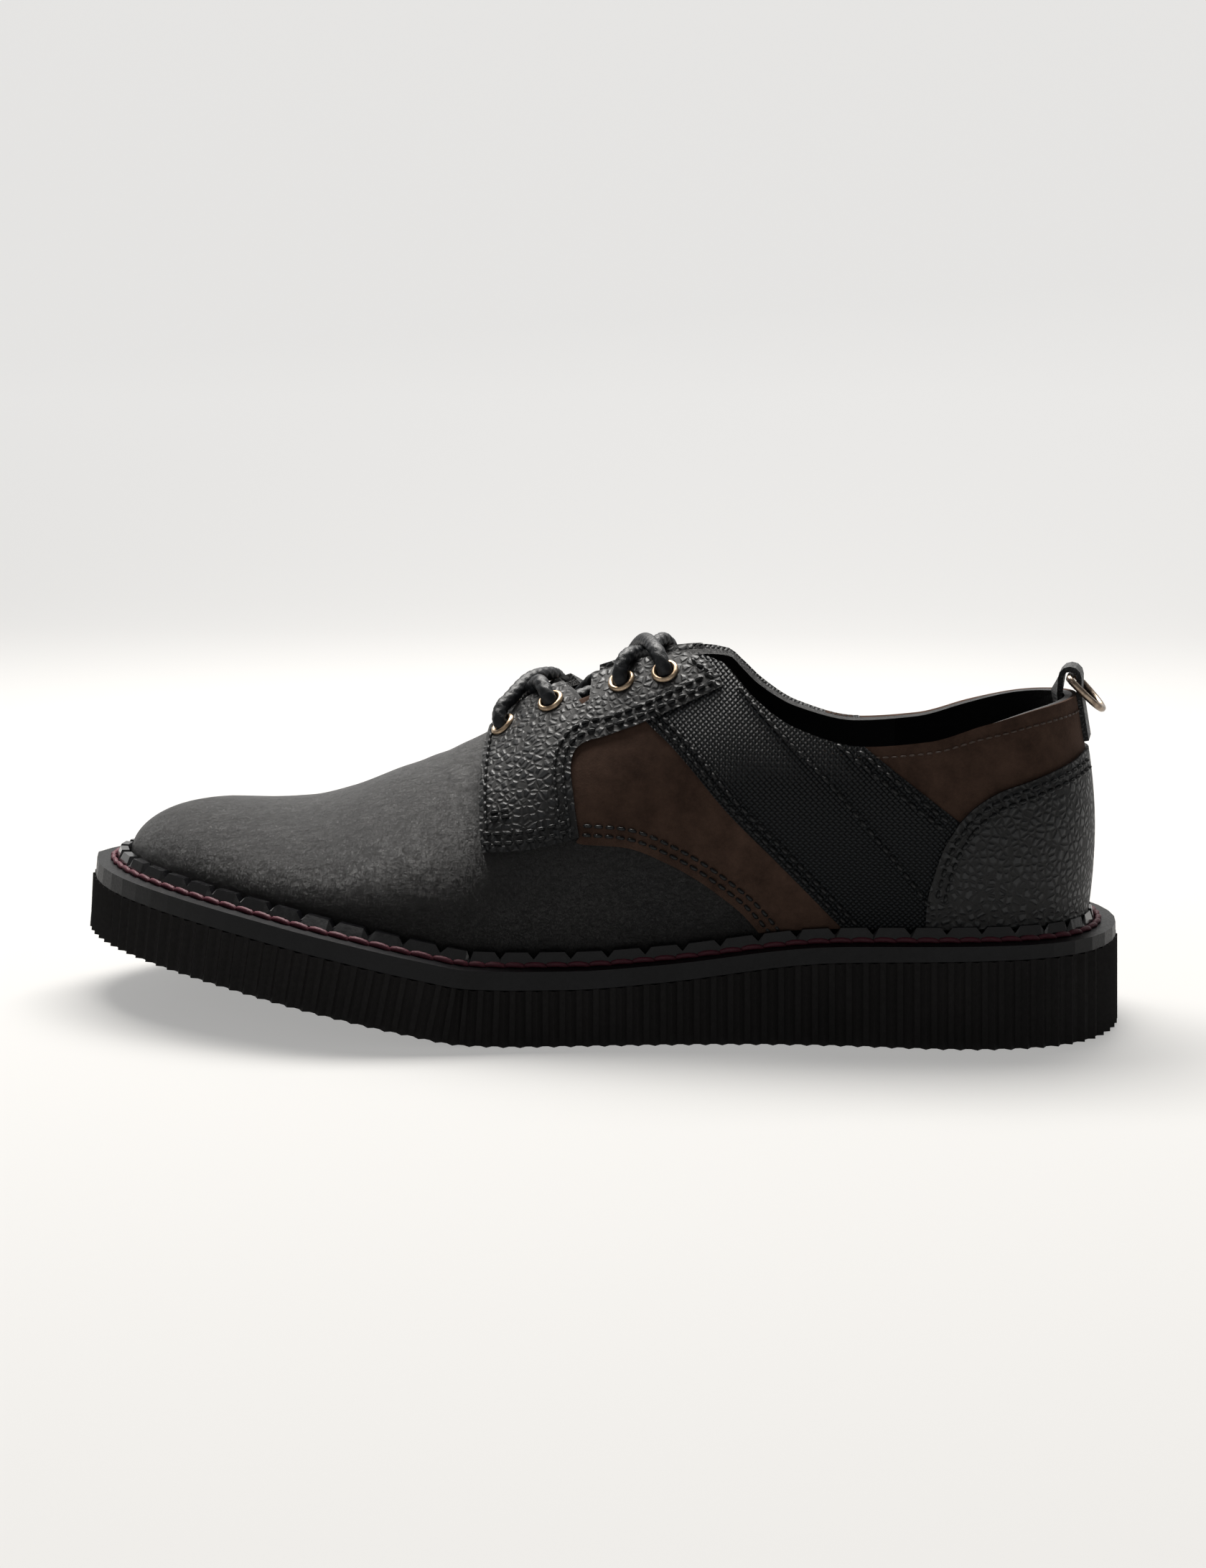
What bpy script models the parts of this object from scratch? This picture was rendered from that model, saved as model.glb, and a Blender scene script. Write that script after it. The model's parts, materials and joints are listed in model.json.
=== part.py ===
"""Left derby shoe: sole, welt, hollow upper, quarter panels, eyelets, lace, pull tab and ring.

Lengths are in metres. Along the shoe, `a` runs from the heel end of the sole to its toe tip, `y` is
negative on the outer side and `w` is the height above the underside of the sole, square to it.
In the world +X points to the heel and +Z up. Table columns hold shares of the sizes named beside them.
"""

import math

import bmesh
import bpy
import numpy as np
from mathutils import Vector

# Driving sizes
SOLE_LENGTH = 0.302
BALL_WIDTH = 0.110
HEEL_WIDTH = 0.078
TOE_SPRING = 0.0186
TREAD_FRONT = 0.0150
TREAD_HEEL = 0.0240
BAND_FRONT = 0.0050
BAND_HEEL = 0.0036
RIB_PITCH = 0.00455
RIB_DEPTH = 0.0013
RIB_PROUD = 0.0005
WELT_MARGIN = 0.0056
WELT_WIDTH = 0.0042
WELT_HEIGHT = 0.0033
TOOTH_PITCH = 0.0092
TOOTH_GAP = 0.0030
TOOTH_DEPTH = 0.0019
UPPER_WALL = 0.0021
COLLAR_HEIGHT = 0.0915
COLLAR_RADIUS = 0.0270
INSTEP_HEIGHT = 0.1020
TOE_HEIGHT = 0.0560
THROAT_GAP = 0.0190
INSOLE_THICKNESS = 0.0030
TONGUE_THICKNESS = 0.0018
TONGUE_GAP = 0.0010
WELT_SLANT = 0.0010
SUEDE_THICKNESS = 0.0011
FABRIC_THICKNESS = 0.0014
EYESTAY_THICKNESS = 0.0016
COUNTER_THICKNESS = 0.0016
EYELET_RADIUS = 0.0040
EYELET_BORE = 0.0024
EYELET_BARREL = 0.0029
EYELET_DOME = 0.0008
LACE_DIAMETER = 0.0043
TAB_WIDTH = 0.0140
TAB_THICKNESS = 0.0015
TAB_LOOP_BORE = 0.0036
TAB_TWIST = math.radians(10)
TAB_RISE = 0.0048
TAB_FOOT_OUTSIDE = 0.0786
TAB_FOOT_INSIDE = 0.0800
RING_WIRE = 0.0020
RING_DROP = 0.0125
RING_PLAY = 0.0014
RING_TILT = math.radians(44)
CROSSING_RISE = 0.0035
CROWN_DROP = 0.0014
CLEARANCE = 0.0003

# Sole outline: share along, outer and inner half widths as shares of the heel or ball width
HEEL, BALL = HEEL_WIDTH, BALL_WIDTH
OUTLINE = (
    # along, outer, inner, of
    (0.038, 0.354, 0.354, HEEL),
    (0.129, 0.500, 0.500, HEEL),
    (0.250, 0.508, 0.470, HEEL),
    (0.364, 0.378, 0.310, BALL),
    (0.480, 0.425, 0.340, BALL),
    (0.580, 0.468, 0.405, BALL),
    (0.660, 0.494, 0.467, BALL),
    (0.730, 0.488, 0.503, BALL),
    (0.810, 0.428, 0.495, BALL),
    (0.880, 0.340, 0.443, BALL),
    (0.940, 0.225, 0.345, BALL),
    (0.980, 0.098, 0.216, BALL),
)
TOE_TIP_SIDE = 0.055  # the tip lies this share of the ball width towards the inner side

# Underside rise: share along, share of the toe spring
SPRING = (
    (0.000, 0.00),
    (0.540, 0.00),
    (0.590, 0.03),
    (0.650, 0.21),
    (0.720, 0.44),
    (0.820, 0.70),
    (0.920, 0.89),
    (1.000, 1.00),
)

# Tread height: share along, 0 for the front height and 1 for the heel height
TREAD = (
    (0.00, 1.00),
    (0.13, 0.94),
    (0.19, 0.88),
    (0.27, 0.77),
    (0.42, 0.17),
    (0.50, 0.00),
    (1.00, 0.00),
)

# Upper sections by the share along of their foot on the sole. Columns: half width of the top edge and
# its height, each a share of the size named after it, the lean of the wall at the top edge and its
# flare at the foot in degrees, and the pull of the curve's lower and upper handles.
RADIUS, GAP = COLLAR_RADIUS, THROAT_GAP
COLLAR, INSTEP, TOE = COLLAR_HEIGHT, INSTEP_HEIGHT, TOE_HEIGHT
SECTIONS = (
    # along, half width, of, height, of, lean, flare, low, high
    (0.034, 1.00, RADIUS, 1.000, COLLAR, 9, 8, 0.44, 0.40),
    (0.080, 1.01, RADIUS, 0.976, COLLAR, 10, 9, 0.44, 0.40),
    (0.129, 1.06, RADIUS, 0.934, COLLAR, 12, 10, 0.46, 0.38),
    (0.180, 1.13, RADIUS, 0.884, COLLAR, 14, 12, 0.50, 0.36),
    (0.240, 1.16, RADIUS, 0.868, COLLAR, 17, 14, 0.52, 0.36),
    (0.298, 1.10, RADIUS, 0.915, COLLAR, 24, 14, 0.52, 0.38),
    (0.336, 0.98, RADIUS, 0.995, COLLAR, 33, 14, 0.50, 0.40),
    (0.352, 0.86, RADIUS, 0.942, INSTEP, 38, 14, 0.50, 0.40),
    (0.366, 0.70, RADIUS, 0.983, INSTEP, 43, 14, 0.48, 0.40),
    (0.390, 0.71, GAP, 0.996, INSTEP, 49, 14, 0.48, 0.40),
    (0.420, 0.58, GAP, 0.989, INSTEP, 53, 14, 0.46, 0.40),
    (0.460, 0.53, GAP, 0.958, INSTEP, 56, 14, 0.46, 0.42),
    (0.500, 0.48, GAP, 0.920, INSTEP, 58, 14, 0.46, 0.42),
    (0.530, 0.44, GAP, 0.892, INSTEP, 60, 14, 0.46, 0.44),
    (0.560, 0.37, GAP, 0.843, INSTEP, 63, 14, 0.46, 0.46),
    (0.582, 0.27, GAP, 0.794, INSTEP, 70, 14, 0.46, 0.48),
    (0.600, 0.00, GAP, 0.759, INSTEP, 84, 14, 0.46, 0.50),
    (0.640, 0.00, GAP, 0.704, INSTEP, 90, 13, 0.48, 0.50),
    (0.690, 0.00, GAP, 0.646, INSTEP, 90, 12, 0.50, 0.50),
    (0.740, 0.00, GAP, 0.588, INSTEP, 90, 11, 0.52, 0.52),
    (0.785, 0.00, GAP, 1.013, TOE, 90, 10, 0.54, 0.54),
    (0.830, 0.00, GAP, 0.998, TOE, 90, 9, 0.55, 0.55),
    (0.870, 0.00, GAP, 1.000, TOE, 90, 8, 0.55, 0.56),
    (0.970, 0.00, GAP, 1.000, TOE, 90, 8, 0.55, 0.56),
)
RIDGE_SIDE = 0.045  # the instep ridge lies this share of the ball width towards the inner side
HEEL_CENTRE = 0.129
TOE_POLE = 0.868
THROAT_FRONT = 0.600

# Columns of the upper's mesh between the heel's and the toe's fans, as shares along
COLUMNS = (
    HEEL_CENTRE, 0.170, 0.212, 0.255, 0.298, 0.326, 0.345, 0.360, 0.378, 0.412, 0.448,
    0.485, 0.522, 0.560, THROAT_FRONT, 0.645, 0.695, 0.742, 0.787, 0.828, TOE_POLE,
)
OUTLINE_SAMPLES = 2000
HEEL_STEPS = 5
TOE_STEPS = 5
ROW_SHARES = (0.0, 0.08, 0.22, 0.38, 0.54, 0.70, 0.86, 1.0)
ROWS = len(ROW_SHARES) - 1
PANEL_ROW = 1

# Seams seen from the side: share along, share of the collar height or, from the instep on, of the
# same share of the instep height
SEAM_SHARE = 0.897059
EYESTAY_FRONT = ((0.600, 1.200), (0.597, 0.900), (0.592, 0.720), (0.583, 0.548))
EYESTAY_FOOT = ((0.583, 0.548), (0.540, 0.562), (0.494, 0.598))
EYESTAY_REAR = ((0.494, 0.598), (0.500, 0.700), (0.505, 0.805), (0.497, 0.858), (0.473, 0.886))
EYESTAY_BAND = ((0.473, 0.886), (0.437, 0.930), (0.400, 0.985), (0.366, 1.040))
EYESTAY_END = ((0.366, 1.040), (0.368, 1.060), (0.380, 1.105), (0.392, 1.130), (0.400, 1.300))
VAMP_SEAM = (
    (0.494, 0.598), (0.493, 0.578), (0.449, 0.567), (0.414, 0.522), (0.389, 0.477), (0.365, 0.420),
    (0.344, 0.358), (0.318, 0.250),
)
FABRIC_FRONT = ((0.437, 0.930), (0.403, 0.833), (0.362, 0.685), (0.309, 0.509), (0.235, 0.250))
FABRIC_REAR = ((0.300, 1.040), (0.239, 0.878), (0.152, 0.655))
COUNTER_FRONT = ((0.152, 0.655), (0.166, 0.580), (0.175, 0.495), (0.181, 0.410), (0.183, 0.250))
COUNTER_TOP = (
    (0.152, 0.655), (0.138, 0.700), (0.115, 0.745), (0.088, 0.772), (0.047, 0.815), (0.030, 0.835),
    (-0.020, 0.850),
)
NOTCH = ((0.526, 1.035), (0.500, 0.965), (0.493, 0.980), (0.494, 1.200), (0.545, 1.200))
EYELETS = (
    # share along, distance from the facing's edge
    (0.575, 0.0072), (0.529, 0.0078), (0.461, 0.0072), (0.420, 0.0070),
)

# Tongue: shares along, and up each wall the share of the lace's room kept under the facings
TONGUE_COLUMNS = (0.375, 0.405, 0.440, 0.480, 0.520, 0.555, 0.585, 0.610, 0.635, 0.662)
TONGUE_ROWS = ((0.68, 0.00), (0.77, 0.55), (0.86, 1.00), (0.94, 1.00))
LACE_ROOM = ((0.375, 1.00), (0.600, 1.00), (0.662, 0.00))

# Lace strands by node: facing and eyelet row at each end, and 1 for the strand that lies on top
LACES = {
    "lace_cross_front": ((("lateral", 0), ("medial", 1), 1), (("lateral", 1), ("medial", 0), 0)),
    "lace_cross_rear": ((("lateral", 3), ("medial", 2), 1), (("lateral", 2), ("medial", 3), 0)),
    "lace_cross_inner": ((("medial", 1), ("lateral", 2), 1), (("medial", 2), ("lateral", 1), 0)),
    "lace_bar_front": ((("lateral", 0), ("medial", 0), 0),),
}
OUTSIDE_LACES = ("lace_cross_front", "lace_cross_rear")
LACE_SIDES = 6
EYELET_SIDES = 8
BORE_SIDES = 12
RING_SIDES = 6

SIDES = {"lateral": -1, "medial": 1}

# How far the inside of the heel's curve bows over the tab's width
TAB_SAG = COLLAR_RADIUS - UPPER_WALL - math.sqrt((COLLAR_RADIUS - UPPER_WALL) ** 2 - (TAB_WIDTH / 2) ** 2)


# Smooth curves through table values

def track(points):
    """A curve through (x, y) points that rises and falls only where they do."""
    x, y = (np.array(column, float) for column in zip(*points))
    step = np.diff(x)
    rise = np.diff(y) / step
    slope = np.zeros(len(x))
    slope[0] = rise[0]
    slope[-1] = rise[-1]
    for i in range(1, len(x) - 1):
        if rise[i - 1] * rise[i] > 0:
            before = 2 * step[i] + step[i - 1]
            after = step[i] + 2 * step[i - 1]
            slope[i] = (before + after) / (before / rise[i - 1] + after / rise[i])

    def value(at):
        at = min(max(at, x[0]), x[-1])
        i = min(int(np.searchsorted(x, at, side="right")) - 1, len(step) - 1)
        t = (at - x[i]) / step[i]
        return float(
            (1 + 2 * t) * (1 - t) ** 2 * y[i]
            + t * (1 - t) ** 2 * step[i] * slope[i]
            + t * t * (3 - 2 * t) * y[i + 1]
            + t * t * (t - 1) * step[i] * slope[i + 1]
        )

    return value


def closed_curve(points):
    """A smooth closed curve through the points, read by the distance along its chords."""
    knots = np.array(points, float)
    count = len(knots)
    chord = np.linalg.norm(np.roll(knots, -1, 0) - knots, axis=1)
    system = np.zeros((count, count))
    bend = np.zeros((count, 2))
    for i in range(count):
        before = chord[i - 1]
        after = chord[i]
        system[i, i - 1] += before
        system[i, i] += 2 * (before + after)
        system[i, (i + 1) % count] += after
        bend[i] = 6 * ((knots[(i + 1) % count] - knots[i]) / after - (knots[i] - knots[i - 1]) / before)
    curve = np.linalg.solve(system, bend)
    start = np.concatenate([[0], np.cumsum(chord)])

    def value(distance):
        distance = distance % start[-1]
        i = min(int(np.searchsorted(start, distance, side="right")) - 1, count - 1)
        span = chord[i]
        left = start[i + 1] - distance
        right = distance - start[i]
        j = (i + 1) % count
        return (
            (curve[i] * left**3 + curve[j] * right**3) / (6 * span)
            + (knots[i] / span - curve[i] * span / 6) * left
            + (knots[j] / span - curve[j] * span / 6) * right
        )

    return value, start


# The sole's form

def outline_knots():
    outer = [(along * SOLE_LENGTH, -out * width) for along, out, _, width in OUTLINE]
    inner = [(along * SOLE_LENGTH, into * width) for along, _, into, width in OUTLINE]
    tip = (SOLE_LENGTH, TOE_TIP_SIDE * BALL_WIDTH)
    return [(0.0, 0.0)] + outer + [tip] + inner[::-1]


OUTLINE_AT, OUTLINE_STARTS = closed_curve(outline_knots())
OUTLINE_TURN = OUTLINE_STARTS[-1]
OUTLINE_TIP = OUTLINE_STARTS[len(OUTLINE) + 1]

underside = track([(along * SOLE_LENGTH, rise * TOE_SPRING) for along, rise in SPRING])
tread_height = track([
    (along * SOLE_LENGTH, TREAD_FRONT + part * (TREAD_HEEL - TREAD_FRONT)) for along, part in TREAD
])


def band_height(a):
    part = min(1.0, a / (SOLE_LENGTH / 2))
    return BAND_HEEL + part * (BAND_FRONT - BAND_HEEL)


def midsole_floor(a):
    return tread_height(a) + CLEARANCE


def midsole_top(a):
    return midsole_floor(a) + band_height(a)


def outline_point(distance, inset=0.0):
    """(a, y) on the sole's outline, moved inwards by the inset."""
    step = 1e-4
    here = OUTLINE_AT(distance)
    ahead = OUTLINE_AT(distance + step) - OUTLINE_AT(distance - step)
    ahead /= np.linalg.norm(ahead)
    inwards = np.array([-ahead[1], ahead[0]])
    return here + inset * inwards


def bent(a, y, w):
    """World point of a place given along, across and square to the sprung sole."""
    step = 1e-3
    slope = math.atan((underside(a + step) - underside(a - step)) / (2 * step))
    return Vector((
        HEEL_X - a + w * math.sin(slope),
        y - MIDDLE_Y,
        underside(a) + w * math.cos(slope),
    ))


def sole_middle():
    """World X of the heel end and the y of the sole's middle, so that its box stands on the origin."""
    reach = []
    for i in range(720):
        a, y = outline_point(OUTLINE_TURN * i / 720, -RIB_PROUD)
        reach.append((-a, y))
    low = np.min(reach, axis=0)
    high = np.max(reach, axis=0)
    return -(low[0] + high[0]) / 2, (low[1] + high[1]) / 2


HEEL_X, MIDDLE_Y = sole_middle()


def outline_run():
    """Chord distances round the outline and the length covered at each."""
    fine = [OUTLINE_TURN * i / OUTLINE_SAMPLES for i in range(OUTLINE_SAMPLES + 1)]
    points = np.array([OUTLINE_AT(d) for d in fine])
    return fine, np.concatenate([[0], np.cumsum(np.linalg.norm(np.diff(points, axis=0), axis=1))])


RUN_DISTANCES, RUN_LENGTHS = outline_run()
OUTLINE_LENGTH = RUN_LENGTHS[-1]


def even_distance(share):
    """Chord distance at this share of the outline's length from the heel end."""
    return float(np.interp(OUTLINE_LENGTH * (share % 1.0), RUN_LENGTHS, RUN_DISTANCES))


def even_ring(count, inset):
    return [outline_point(even_distance(i / count), inset) for i in range(count)]


# The upper's form

SECTION_COLUMNS = {
    "half width": track([(row[0] * SOLE_LENGTH, row[1] * row[2]) for row in SECTIONS]),
    "height": track([(row[0] * SOLE_LENGTH, row[3] * row[4]) for row in SECTIONS]),
    "lean": track([(row[0] * SOLE_LENGTH, math.radians(row[5])) for row in SECTIONS]),
    "flare": track([(row[0] * SOLE_LENGTH, math.radians(row[6])) for row in SECTIONS]),
    "low": track([(row[0] * SOLE_LENGTH, row[7]) for row in SECTIONS]),
    "high": track([(row[0] * SOLE_LENGTH, row[8]) for row in SECTIONS]),
}
UPPER_INSET = WELT_MARGIN + WELT_WIDTH + CLEARANCE


def foot_distance(side, along):
    """Chord distance on one side of the outline where the upper's foot reaches this share along."""
    low = 0.0
    high = OUTLINE_TIP
    for _ in range(40):
        middle = (low + high) / 2
        distance = middle if side < 0 else OUTLINE_TURN - middle * (OUTLINE_TURN - OUTLINE_TIP) / OUTLINE_TIP
        if outline_point(distance, UPPER_INSET)[0] < along * SOLE_LENGTH:
            low = middle
        else:
            high = middle
    return low


def side_distance(side, part):
    if side < 0:
        return part
    return OUTLINE_TURN - part * (OUTLINE_TURN - OUTLINE_TIP) / OUTLINE_TIP


class Rib:
    """One line of the upper from its foot on the sole to its top edge, on one side."""

    def __init__(self, side, part):
        a, y = outline_point(side_distance(side, part), UPPER_INSET)
        value = {name: column(a) for name, column in SECTION_COLUMNS.items()}
        half = value["half width"]
        centre_a = min(max(a, HEEL_CENTRE * SOLE_LENGTH), TOE_POLE * SOLE_LENGTH)
        ridge_y = ridge_side(centre_a)
        away = np.array([a - centre_a, y - ridge_y])
        if centre_a == a:
            away = np.array([0.0, side])
        away /= np.linalg.norm(away)
        top_a = centre_a + away[0] * half
        top_y = ridge_y + away[1] * half
        self.along = a / SOLE_LENGTH
        self.foot = bent(a, y, midsole_top(a) + CLEARANCE)
        self.top = Vector((HEEL_X - top_a, top_y - MIDDLE_Y, value["height"]))
        outwards = outline_point(side_distance(side, part)) - np.array([a, y])
        outwards /= np.linalg.norm(outwards)
        flare = value["flare"]
        lean = value["lean"]
        out = Vector((-outwards[0], outwards[1], 0))
        back = Vector((away[0], -away[1], 0))
        rise = self.top.z - self.foot.z
        reach = math.hypot(self.top.x - self.foot.x, self.top.y - self.foot.y)
        low_pull = value["low"] * rise
        high_pull = value["high"] * (math.sin(lean) * reach + math.cos(lean) * rise)
        self.low = self.foot + low_pull * (math.sin(flare) * out + math.cos(flare) * Vector((0, 0, 1)))
        self.high = self.top - high_pull * (math.sin(lean) * back + math.cos(lean) * Vector((0, 0, 1)))

    def point(self, t):
        s = 1 - t
        return s**3 * self.foot + 3 * s * s * t * self.low + 3 * s * t * t * self.high + t**3 * self.top


def ridge_side(a):
    """How far the instep ridge lies to the inner side: none at the heel, all of it from the throat on."""
    part = min(max((a / SOLE_LENGTH - 0.30) / 0.30, 0.0), 1.0)
    return RIDGE_SIDE * BALL_WIDTH * part * part * (3 - 2 * part)


def column_parts(side):
    """Places along one side of the outline for the columns of the upper's mesh, heel to toe."""
    fixed = [foot_distance(side, along) for along in COLUMNS]
    heel = [fixed[0] * i / HEEL_STEPS for i in range(HEEL_STEPS)]
    toe = [fixed[-1] + (OUTLINE_TIP - fixed[-1]) * i / TOE_STEPS for i in range(1, TOE_STEPS + 1)]
    return heel + fixed + toe


def surface_point(side, part, t):
    return Rib(side, part).point(t)


def surface_normal(side, part, t):
    """The upper's outward normal."""
    t = min(max(t, 0.001), 0.985)
    step = 4e-4
    before = surface_point(side, max(part - step, 0), t)
    after = surface_point(side, min(part + step, OUTLINE_TIP), t)
    if part < step:
        across = Vector((0, side, 0))
    elif part > OUTLINE_TIP - step:
        across = Vector((0, -side, 0))
    else:
        across = after - before
    rise = surface_point(side, part, t + 0.001) - surface_point(side, part, t - 0.001)
    return (side * across.cross(rise)).normalized()


class Lattice:
    """The upper's mesh points on both sides, with their normals."""

    def __init__(self):
        self.points = {}
        self.normals = {}
        self.along = {}
        for name, side in SIDES.items():
            parts = column_parts(side)
            for c, part in enumerate(parts):
                self.along[c] = Rib(side, part).along
                for r in range(ROWS + 1):
                    t = ROW_SHARES[r]
                    self.points[name, c, r] = surface_point(side, part, t)
                    self.normals[name, c, r] = surface_normal(side, part, t)
        self.columns = len(parts) - 1
        self.throat = HEEL_STEPS + COLUMNS.index(THROAT_FRONT)
        self.pole = HEEL_STEPS + len(COLUMNS) - 1
        self.smooth_ridge()

    def smooth_ridge(self):
        """Where both sides share the ridge, its normal has no lean to either side."""
        for c in range(self.throat, self.columns + 1):
            total = self.normals["lateral", c, ROWS] + self.normals["medial", c, ROWS]
            if c >= self.pole:
                total = self.normals["lateral", self.pole - 1, ROWS] + self.normals["medial", self.pole - 1, ROWS]
            for name in SIDES:
                self.normals[name, c, ROWS] = total.normalized()

    def key(self, name, c, r):
        """The shared name of a point, so that both sides use one at the heel, the toe and the ridge."""
        if r == ROWS and c >= self.pole:
            return "ridge", self.pole, ROWS
        if r == ROWS and c >= self.throat:
            return "ridge", c, ROWS
        if c in (0, self.columns):
            return "middle", c, r
        return name, c, r

    def at(self, name, c, r, depth):
        """A point of the lattice moved out along its normal by depth."""
        return self.points[name, c, r] + depth * self.normals[name, c, r]


# Scene and mesh helpers

def clear_scene():
    for obj in list(bpy.data.objects):
        bpy.data.objects.remove(obj, do_unlink=True)
    parts = bpy.data.collections.new("derby_shoe")
    cutters = bpy.data.collections.new("cutters")
    for collection in (parts, cutters):
        bpy.context.scene.collection.children.link(collection)
    cutters.hide_render = True
    return parts, cutters


PARTS, CUTTERS = clear_scene()


def material(name, colour, roughness, metallic=0.0):
    made = bpy.data.materials.new(name)
    made.use_nodes = True
    shader = made.node_tree.nodes["Principled BSDF"]
    shader.inputs["Base Color"].default_value = (*colour, 1)
    shader.inputs["Roughness"].default_value = roughness
    shader.inputs["Metallic"].default_value = metallic
    return made


LEATHER = material("black_leather", (0.012, 0.012, 0.013), 0.42)
PEBBLED = material("pebbled_leather", (0.010, 0.011, 0.012), 0.36)
SUEDE = material("brown_suede", (0.050, 0.028, 0.020), 0.95)
FABRIC = material("black_fabric", (0.016, 0.018, 0.020), 0.85)
RUBBER = material("black_rubber", (0.006, 0.006, 0.006), 0.55)
BAND = material("matte_rubber", (0.016, 0.017, 0.018), 0.48)
WELT = material("gloss_welt", (0.006, 0.006, 0.006), 0.22)
BRASS = material("antique_brass", (0.42, 0.27, 0.13), 0.34, 1.0)
BRONZE = material("dark_bronze", (0.16, 0.12, 0.09), 0.30, 1.0)
CORD = material("waxed_cord", (0.012, 0.013, 0.016), 0.50)


def add_object(name, mesh, surface, collection=PARTS):
    mesh.materials.append(surface)
    obj = bpy.data.objects.new(name, mesh)
    collection.objects.link(obj)
    return obj


def add_bmesh(name, bm, surface, collection=PARTS):
    """An object of this closed mesh, with its faces turned out."""
    bmesh.ops.recalc_face_normals(bm, faces=bm.faces[:])
    if bm.calc_volume(signed=True) < 0:
        bmesh.ops.reverse_faces(bm, faces=bm.faces[:])
    mesh = bpy.data.meshes.new(name)
    bm.to_mesh(mesh)
    bm.free()
    return add_object(name, mesh, surface, collection)


def as_cutter(obj):
    obj.hide_render = True
    obj.display_type = "WIRE"
    return obj


def boolean(obj, operation, other):
    modifier = obj.modifiers.new(operation.title(), "BOOLEAN")
    modifier.operation = operation
    modifier.object = other
    modifier.solver = "EXACT"
    return obj


def smooth(obj, angle=40):
    obj.data.shade_smooth()
    obj.data.set_sharp_from_angle(angle=math.radians(angle))
    return obj


def thick_skin(name, surface, corners, quads, outer, inner, collection=PARTS):
    """A closed wall between two layers of the same grid. `corners` holds each point's place by layer."""
    keys = sorted({key for quad in quads for key in quad}, key=str)
    index = {key: i for i, key in enumerate(keys)}
    points = [corners(key, outer) for key in keys] + [corners(key, inner) for key in keys]
    faces = []
    edges = {}
    for quad in quads:
        for triangle in ((quad[0], quad[1], quad[2]), (quad[0], quad[2], quad[3])):
            if len(set(triangle)) < 3:
                continue
            face = [index[key] for key in triangle]
            faces.append(face)
            faces.append([i + len(keys) for i in reversed(face)])
            for i in range(3):
                edges[face[i], face[(i + 1) % 3]] = True
    for start, end in edges:
        if (end, start) not in edges:
            faces.append([end, start, start + len(keys), end + len(keys)])
    mesh = bpy.data.meshes.new(name)
    mesh.from_pydata(points, [], faces)
    return add_object(name, mesh, surface, collection)


def loft(name, surface, rings, closed):
    """A solid through rings of points, joined end to end or closed by its first and last ring."""
    bm = bmesh.new()
    verts = [[bm.verts.new(point) for point in ring] for ring in rings]
    for i in range(len(verts) if closed else len(verts) - 1):
        ring = verts[i]
        ahead = verts[(i + 1) % len(verts)]
        for j in range(len(ring)):
            k = (j + 1) % len(ring)
            bm.faces.new((ring[j], ring[k], ahead[k], ahead[j]))
    if not closed:
        bm.faces.new(verts[0])
        bm.faces.new(verts[-1])
    return add_bmesh(name, bm, surface)


def wire(name, surface, points, radius, sides, cyclic=False, collection=PARTS):
    """A round wire along a line of points."""
    curve = bpy.data.curves.new(name, "CURVE")
    curve.dimensions = "3D"
    curve.bevel_depth = radius
    curve.bevel_resolution = (sides - 4) // 2
    curve.use_fill_caps = not cyclic
    spline = curve.splines.new("POLY")
    spline.points.add(len(points) - 1)
    for place, point in zip(spline.points, points):
        place.co = (*point, 1)
    spline.use_cyclic_u = cyclic
    return add_object(name, curve, surface, collection)


def as_mesh(obj):
    """The same piece as a mesh, so that it can be joined with another."""
    bpy.context.view_layer.update()
    mesh = bpy.data.meshes.new_from_object(obj.evaluated_get(bpy.context.evaluated_depsgraph_get()))
    name = obj.name
    surface = obj.data.materials[0]
    collection = obj.users_collection[0]
    bpy.data.objects.remove(obj, do_unlink=True)
    bm = bmesh.new()
    bm.from_mesh(mesh)
    bmesh.ops.remove_doubles(bm, verts=bm.verts[:], dist=1e-6)
    return add_bmesh(name, bm, surface, collection)


# Sole, midsole and insole

def slab(name, surface, ring, floor, top, stations=18):
    """A flat plate of the ring's outline, bent to the sole between two heights."""
    bm = bmesh.new()
    face = bm.faces.new([bm.verts.new((a, y, 0)) for a, y in ring])
    made = bmesh.ops.extrude_face_region(bm, geom=[face])
    for item in made["geom"]:
        if isinstance(item, bmesh.types.BMVert):
            item.co.z = 1
    for i in range(1, stations):
        bmesh.ops.bisect_plane(
            bm,
            geom=bm.verts[:] + bm.edges[:] + bm.faces[:],
            dist=1e-6,
            plane_co=(SOLE_LENGTH * i / stations, 0, 0),
            plane_no=(1, 0, 0),
        )
    bmesh.ops.triangulate(bm, faces=[f for f in bm.faces if len(f.verts) > 4])
    for vert in bm.verts:
        a, y, share = vert.co
        vert.co = bent(a, y, floor(a) + share * (top(a) - floor(a)))
    return add_bmesh(name, bm, surface)


def make_outsole():
    points = round(OUTLINE_LENGTH / RIB_PITCH) * 3
    ring = []
    for i in range(points):
        inset = -RIB_PROUD if i % 3 == 0 else RIB_DEPTH - RIB_PROUD
        ring.append(outline_point(even_distance(i / points), inset))
    return slab("outsole", RUBBER, ring, lambda a: 0.0, tread_height)


def make_midsole():
    return smooth(slab("midsole", BAND, even_ring(100, 0.0), midsole_floor, midsole_top))


def make_insole():
    return slab(
        "insole", LEATHER, even_ring(52, UPPER_INSET + UPPER_WALL + CLEARANCE),
        lambda a: midsole_top(a) + CLEARANCE,
        lambda a: midsole_top(a) + CLEARANCE + INSOLE_THICKNESS,
        12,
    )


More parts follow.
